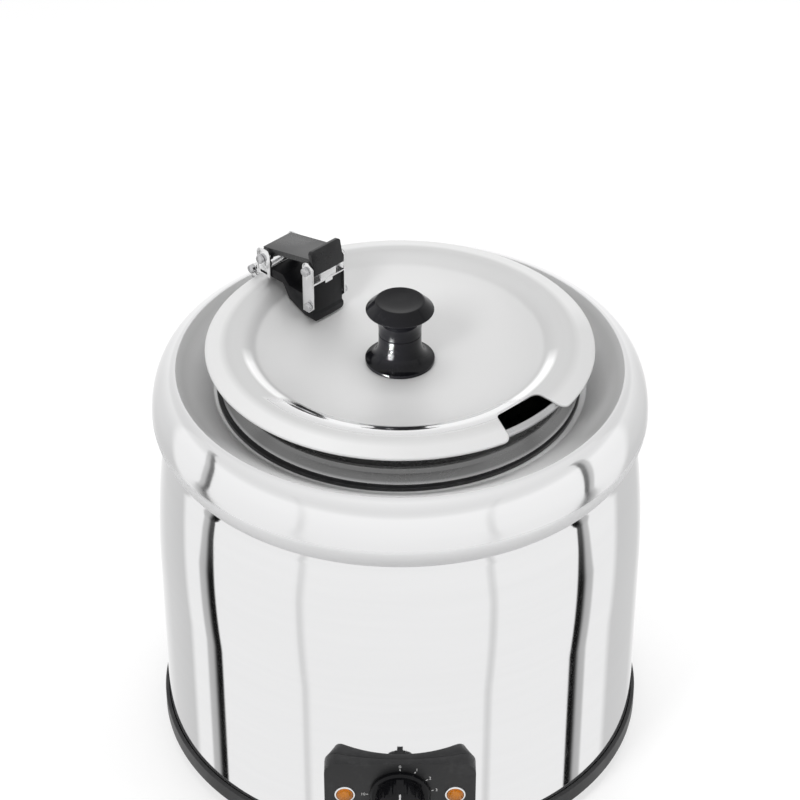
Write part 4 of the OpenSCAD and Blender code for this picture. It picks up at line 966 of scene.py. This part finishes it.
lid = {
    "radius": 134, "sheet": 1, "fall": 14.8, "crest": 107.5, "blend": 10, "dishDeep": 21, "flat": 24,
    "hem": 1.1, "gap": 0.3, "notchTurn": -46, "notchOut": 53, "notchIn": 37, "notchStart": 110,
    "cornerIn": 6, "cornerOut": 6, "even": 96, "dishSteps": 34, "slopeSteps": 18, "hemSteps": 12,
}
lid["drop"] = lid["sheet"] / math.cos(math.radians(lid["fall"]))
lid["underRim"] = pot["rim"] + (pot["roll"] + lid["gap"]) / math.cos(math.radians(lid["fall"]))


def slopeHeight(r):
    return lid["underRim"] + lid["drop"] - (r - pot["rimMiddle"]) * math.tan(math.radians(lid["fall"]))


lid["dish"] = slopeHeight(lid["crest"]) - lid["dishDeep"]


def dishHeight(r):
    return lid["dish"] + lid["dishDeep"] * (max(0, r - lid["flat"]) / (lid["crest"] - lid["flat"])) ** 3


def crestCurve():
    inR, outR = lid["crest"] - lid["blend"], lid["crest"] + lid["blend"]
    run = lid["crest"] - lid["flat"]
    steep = 3 * lid["dishDeep"] * ((inR - lid["flat"]) / run) ** 2 / run
    meet = (slopeHeight(0) - dishHeight(inR) + steep * inR) / (steep + math.tan(math.radians(lid["fall"])))
    return bendLine((inR, dishHeight(inR)), (meet, slopeHeight(meet)), (outR, slopeHeight(outR)), 60)


lid["crestLine"] = crestCurve()


def lidHeight(r):
    line = lid["crestLine"]
    if r <= line[0][0]:
        return dishHeight(r)
    if r >= line[-1][0]:
        return slopeHeight(r)
    for (a, za), (b, zb) in zip(line, line[1:]):
        if r <= b:
            return za + (zb - za) * (r - a) / (b - a)


def lidEdge():  # the lid's outline seen from above, once round, with the ladle notch
    halfOut, halfIn = lid["notchOut"] / 2, lid["notchIn"] / 2
    start, inner, outer, edge = lid["notchStart"], lid["cornerIn"], lid["cornerOut"], lid["radius"]
    lean = math.atan2(halfOut - halfIn, edge - start)
    t = math.tan(lean)
    shift = halfIn - start * t + outer / math.cos(lean)
    reach = edge - outer
    x = (math.sqrt(reach * reach * (1 + t * t) - shift * shift) - t * shift) / (1 + t * t)
    turn = math.degrees(math.atan2(x * t + shift, x))
    leanDeg = math.degrees(lean)
    inMiddle = (start + inner, halfIn + inner * t - inner / math.cos(lean))
    corner = arcLine(inMiddle, inner, inner, 180, 90 + leanDeg, 14)
    tip = arcLine((x, x * t + shift), outer, outer, leanDeg - 90, turn, 16)
    side = [tuple(a + (b - a) * k / 8 for a, b in zip(corner[-1], tip[0])) for k in range(1, 8)]
    flat = [(start, corner[0][1] * k / 8) for k in range(8)]
    half = flat + corner + side + tip
    around = arcLine((0, 0), edge, edge, turn, 360 - turn, 250)[1:-1]
    whole = half + around + [(px, -py) for px, py in reversed(half[1:])]
    spin = Matrix.Rotation(math.radians(lid["notchTurn"]), 2)
    return [spin @ Vector(p) for p in whole]


def makeLid():
    edge = lidEdge()
    count = len(edge)
    outward = []
    for k in range(count):
        along = edge[(k + 1) % count] - edge[k - 1]
        outward.append(Vector((along.y, -along.x)).normalized())
    hem = lid["hem"]
    fall = math.radians(lid["fall"])
    dishSteps, slopeSteps, hemSteps = lid["dishSteps"], lid["slopeSteps"], lid["hemSteps"]
    wide = lid["even"] - lid["flat"]
    even = [0] + [lid["flat"] + wide * k / dishSteps for k in range(dishSteps + 1)]
    endAngle = -180 + math.degrees(math.asin(1 - lid["sheet"] / hem))
    columns = []
    for p, n in zip(edge, outward):
        radial = p.normalized()
        tip = p - n * hem
        lean = fall * n.dot(radial)
        middle = lidHeight(tip.length) - hem / math.cos(lean)
        roll = []
        for k in range(hemSteps + 1):
            a = math.radians(90 + (endAngle - 90) * k / hemSteps) - lean
            flat = tip + n * hem * math.cos(a)
            roll.append((flat.x, flat.y, middle + hem * math.sin(a)))
        start = Vector(roll[0][:2])
        top = [(radial.x * r, radial.y * r, lidHeight(r)) for r in even]
        for k in range(1, slopeSteps):
            share = k / slopeSteps
            r = lid["even"] + (start.length - lid["even"]) * share
            way = radial.lerp(start.normalized(), share).normalized()
            top.append((way.x * r, way.y * r, lidHeight(r)))
        below = [(x, y, z - lid["drop"]) for x, y, z in reversed(top)]
        columns.append(top + roll + below)
    verts = []
    index = []
    for column in columns:
        index.append(list(range(len(verts), len(verts) + len(column))))
        verts.extend(tuple(c * mm for c in v) for v in column)
    faces = []
    for k in range(count):
        a, b = index[k], index[(k + 1) % count]
        for i in range(len(a) - 1):
            faces.append((a[i], a[i + 1], b[i + 1], b[i]))
    mesh = bpy.data.meshes.new("lidMesh")
    mesh.from_pydata(verts, [], faces)
    addPiece("dishedLid", cleanMesh(mesh, 1e-6), "lidSteel", "lid", "polished_steel", "lid", crease=60)


makeLid()
print("lid: dish, crest, slope, hem, ladle notch")


# lid knob

knob = {
    "foot": 24, "footTall": 2.2, "flareLow": 2.5, "flarePull": 4.5, "flareTop": 18, "neck": 14.8,
    "seam": 23, "seamGap": 0.1, "seamRound": 0.5, "capLow": 4, "cap": 23.5, "rim": 42.5, "tall": 49,
    "top": 16.6, "hollow": 1.2, "screw": 3.3, "screwEnd": 6,
}


def addKnobPiece(name, path, closed, node):
    path = [(r, z + lid["dish"]) for r, z in path]
    piece = addPiece(name, latheMesh(name, path, 128, closed), "gloss", "lid", "black_gloss", node)
    glintOn.objects.link(piece)


def makeKnobBase():
    k = knob
    seam = k["seam"] - k["seamGap"]
    low = roundPath([(k["screw"], 0), (k["foot"], 0, 0.5), (k["foot"], k["footTall"])])[:-1]
    flare = bendLine((k["foot"], k["flareLow"]), (k["neck"], k["flarePull"]), (k["neck"], k["flareTop"]), 24)
    neck = roundPath([(k["neck"], k["flareTop"]), (k["neck"], seam, k["seamRound"]), (k["screw"], seam)])[1:]
    addKnobPiece("knobBase", low + flare + neck, True, "lid_knob_base")


def makeKnobCap():
    k = knob
    capLow = (k["neck"], k["seam"] + k["capLow"])
    shut = [(0, k["rim"] - k["screwEnd"]), (k["screw"], k["rim"] - k["screwEnd"])]
    neck = roundPath([(k["screw"], k["seam"]), (k["neck"], k["seam"], k["seamRound"]), capLow])[:-1]
    under = bendLine(capLow, (k["neck"] + 1, k["rim"] - 5), (k["cap"] - 0.3, k["rim"] - 1.2), 22)
    rim = roundPath([under[-1], (k["cap"], k["rim"] - 0.5, 0.4), (k["cap"] - 0.6, k["rim"] + 0.3, 0.5),
        (k["top"], k["tall"], 1.6), (k["top"] - 3.5, k["tall"] - 0.5)], count=7)[1:]
    deep = k["tall"] - k["hollow"]
    hollow = bendLine(rim[-1], (k["top"] / 2, deep), (0, deep), 12)[1:]
    addKnobPiece("knobCap", shut + neck + under + rim + hollow, False, "lid_knob_cap")


makeKnobBase()
makeKnobCap()
print("lid knob: base and cap")


# hinge clip

clipParts = {
    "hinge_saddle": ("clipSaddle", "saddleBlack", "lid", "black_gloss", 0.5),
    "release_lever": ("clipLever", "clipBlack", "lever", "black_gloss", 0.5),
    "rear_bracket": ("rearCheeks", "clip", "lid", "clip_steel", 0.3),
    "front_bracket": ("frontCheeks", "clip", "lid", "clip_steel", 0.3),
    "spring_tongue": ("clipTongue", "clip", "lid", "clip_steel", 0.25),
    "hinge_leaf": ("hingeLeaf", "clip", "lid", "clip_steel", 0.25),
    "rim_clamp": ("rimClamp", "clip", "pot", "clip_steel", 0.25),
    "hinge_pin": ("hingePin", "pin", "pot", "clip_steel", 0.5),
    "lever_pin": ("leverPin", "pin", "lid", "clip_steel", 1.3),
    "front_pins": ("frontPins", "pin", "lid", "clip_steel", 1.3),
    "saddle_rivets": ("saddleRivets", "clip", "lid", "clip_steel", 0.4),
}
clipCorners = {
    "release_lever": {"end": "top", "edge": 4, "near": 1.5, "radius": 2.4},
    "hinge_saddle": {"end": "low", "edge": 7, "near": 0.3, "radius": 3},
}
dressNodes(clipParts, clipCorners)
print("hinge clip:", len(clipParts), "pieces")


# front control and cord inlet

dial = {
    "front": 178, "level": 66, "numbers": 11, "sweep": 270, "tickIn": 21.9, "tickOut": 23.4, "tickWide": 0.6,
    "digits": 25.4, "digitSize": 3.4, "ink": 0.12, "sunk": 0.02, "pointerFrom": 5, "pointerTo": 17.2,
    "pointerWide": 1.2, "screws": 11,
}
lamp = {
    "x": 38, "lens": 5.5, "flange": 1.2, "shoulder": 0.9, "dome": 3, "domeSteps": 36, "ripple": 0.07,
    "rings": 6, "bezelIn": 5.7, "bezelOut": 7.3, "bezelTall": 1.1,
}
gland = {"level": 40, "grip": 11, "from": 181, "to": 191.5, "ribs": 22, "ribWide": 1.1}
forward = (0, -1, 0)


def onDial(across, up, out=0.0):
    return Vector((across * mm, -(dial["front"] + out) * mm, (dial["level"] + up) * mm))


def atMark(k, radius, out):  # number 0 is at the top, and the dial runs clockwise
    a = math.radians(90 - dial["sweep"] * k / (dial["numbers"] - 1))
    return onDial(radius * math.cos(a), radius * math.sin(a), out), (math.cos(a), 0, math.sin(a))


def makeDial():
    d = dial
    addPiece("dialPlate", softCopy("dial_plate", 1.0), "matt", "kettle", "black_matte", "dial_plate")
    knobMesh = softCopy("control_knob", 0.5)
    addPiece("controlKnob", knobMesh, "gloss", "control", "black_gloss", "control_knob")
    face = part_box("control_knob")[0][1]
    middle = d["level"] + (d["pointerFrom"] + d["pointerTo"]) / 2
    spot = Vector((0, face - d["sunk"] * mm, middle * mm))
    long = d["pointerTo"] - d["pointerFrom"]
    addStrokes("pointerLine", [(spot, (0, 0, 1))], d["pointerWide"], long, d["ink"],
        "ink", "control", "black_gloss")
    proud = d["ink"] / 2 - d["sunk"]
    marks = [atMark(k, (d["tickIn"] + d["tickOut"]) / 2, proud) for k in range(d["numbers"])]
    addStrokes("dialTicks", marks, d["tickWide"], d["tickOut"] - d["tickIn"], d["ink"],
        "ink", "kettle", "black_matte")
    digits = []
    for k in range(d["numbers"]):
        text = bpy.data.curves.new("digits", "FONT")
        text.body = str(k)
        text.size = d["digitSize"] * mm
        text.align_x = "CENTER"
        text.align_y = "CENTER"
        text.extrude = d["ink"] / 2 * mm
        holder = bpy.data.objects.new("digits", text)
        scene.collection.objects.link(holder)
        shape = evaluated(holder)
        spot = atMark(k, d["digits"], proud)[0]
        shape.transform(Matrix.Translation(spot) @ Matrix.Rotation(math.pi / 2, 4, "X"))
        digits.append(shape)
    addPiece("dialNumbers", joinMeshes("digits", digits), "ink", "kettle", "black_matte")
    low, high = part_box("dial_screws")
    under = low[1] + screw["tall"] * mm
    spots = [(Vector((side * d["screws"] * mm, under, d["level"] * mm)), forward) for side in (-1, 1)]
    addScrews("dialScrews", spots, high[1] - under, "dial_screws")


def makeLamps():
    n = lamp
    spots = [(onDial(side * n["x"], 0), forward) for side in (-1, 1)]
    wide = n["lens"] - n["shoulder"]
    lens = roundPath([(0, 0), (n["lens"], 0, 0.2), (n["lens"], n["flange"], 0.4), (wide, n["flange"])])
    for k in range(1, n["domeSteps"] + 1):
        t = k / n["domeSteps"]
        a = t * math.pi / 2
        ring = n["ripple"] * math.sin(2 * math.pi * n["rings"] * t) * (1 - t)
        lens.append((wide * math.cos(a), n["flange"] + n["dome"] * math.sin(a) + ring))
    lens[-1] = (0, lens[-1][1])
    mesh = latheMesh("lens", lens, 64)
    addCopies("lampLenses", mesh, spots, "amber", "kettle", "lamp_amber", "lamp_lenses")
    tall = n["bezelTall"]
    bezel = roundPath([(n["bezelIn"], 0), (n["bezelOut"], 0, 0.15), (n["bezelOut"] - 0.3, tall - 0.3, 0.3),
        (n["bezelIn"] + 0.4, tall, 0.3), (n["bezelIn"], tall - 0.5, 0.2)], closed=True)
    addCopies("lampBezels", latheMesh("bezel", bezel, 64), spots, "clip", "kettle", "fastener_steel")


def makeGland():
    g = gland
    addPiece("cordGland", softCopy("cord_gland", 0.5), "matt", "kettle", "black_matte", "cord_gland")
    spots = []
    for k in range(g["ribs"]):
        a = 2 * math.pi * k / g["ribs"]
        up = g["level"] + g["grip"] * math.sin(a)
        middle = (g["from"] + g["to"]) / 2
        spots.append((Vector((g["grip"] * math.cos(a), middle, up)) * mm, (0, 1, 0)))
    addStrokes("glandRibs", spots, g["ribWide"], g["to"] - g["from"], g["ribWide"],
        "matt", "kettle", "black_matte")

makeDial()
makeLamps()
makeGland()
print("control: plate, knob, numbers, lamps; cord gland")


# what shows when the pot is out or the base is open

innerParts = {
    "water_well": ("waterWell", "satin", "kettle", "satin_steel", 0.3),
    "bottom_cover": ("bottomCover", "satin", "kettle", "satin_steel", 0.2),
    "heating_element": ("heatingElement", "heater", "kettle", "heater_steel", 0),
    "element_clamp": ("elementClamp", "fastener", "kettle", "satin_steel", 0.2),
    "tie_stud": ("tieStud", "fastener", "kettle", "fastener_steel", 0.2),
    "stud_nuts": ("studNuts", "fastener", "kettle", "fastener_steel", 0.3),
    "thermal_cutout": ("thermalCutout", "matt", "kettle", "black_matte", 0.3),
    "thermostat_body": ("thermostatBody", "cream", "kettle", "thermostat_case", 0.5),
    "thermostat_bulb": ("thermostatBulb", "copper", "kettle", "bulb_copper", 0),
    "thermostat_shaft": ("thermostatShaft", "fastener", "control", "fastener_steel", 0.3),
    "lamp_bodies": ("lampBodies", "matt", "kettle", "black_matte", 0.3),
    "terminal_block": ("terminalBlock", "cream", "kettle", "thermostat_case", 0.5),
    "wiring": ("innerWiring", "wire", "kettle", "wire_red", 0),
    "gland_locknut": ("glandLocknut", "matt", "kettle", "black_matte", 0.3),
    "knob_screw": ("knobScrew", "fastener", "lid", "fastener_steel", 0.2),
    "knob_washer": ("knobWasher", "fastener", "lid", "fastener_steel", 0.2),
}
dressNodes(innerParts, {})
print("inside:", len(innerParts), "pieces")
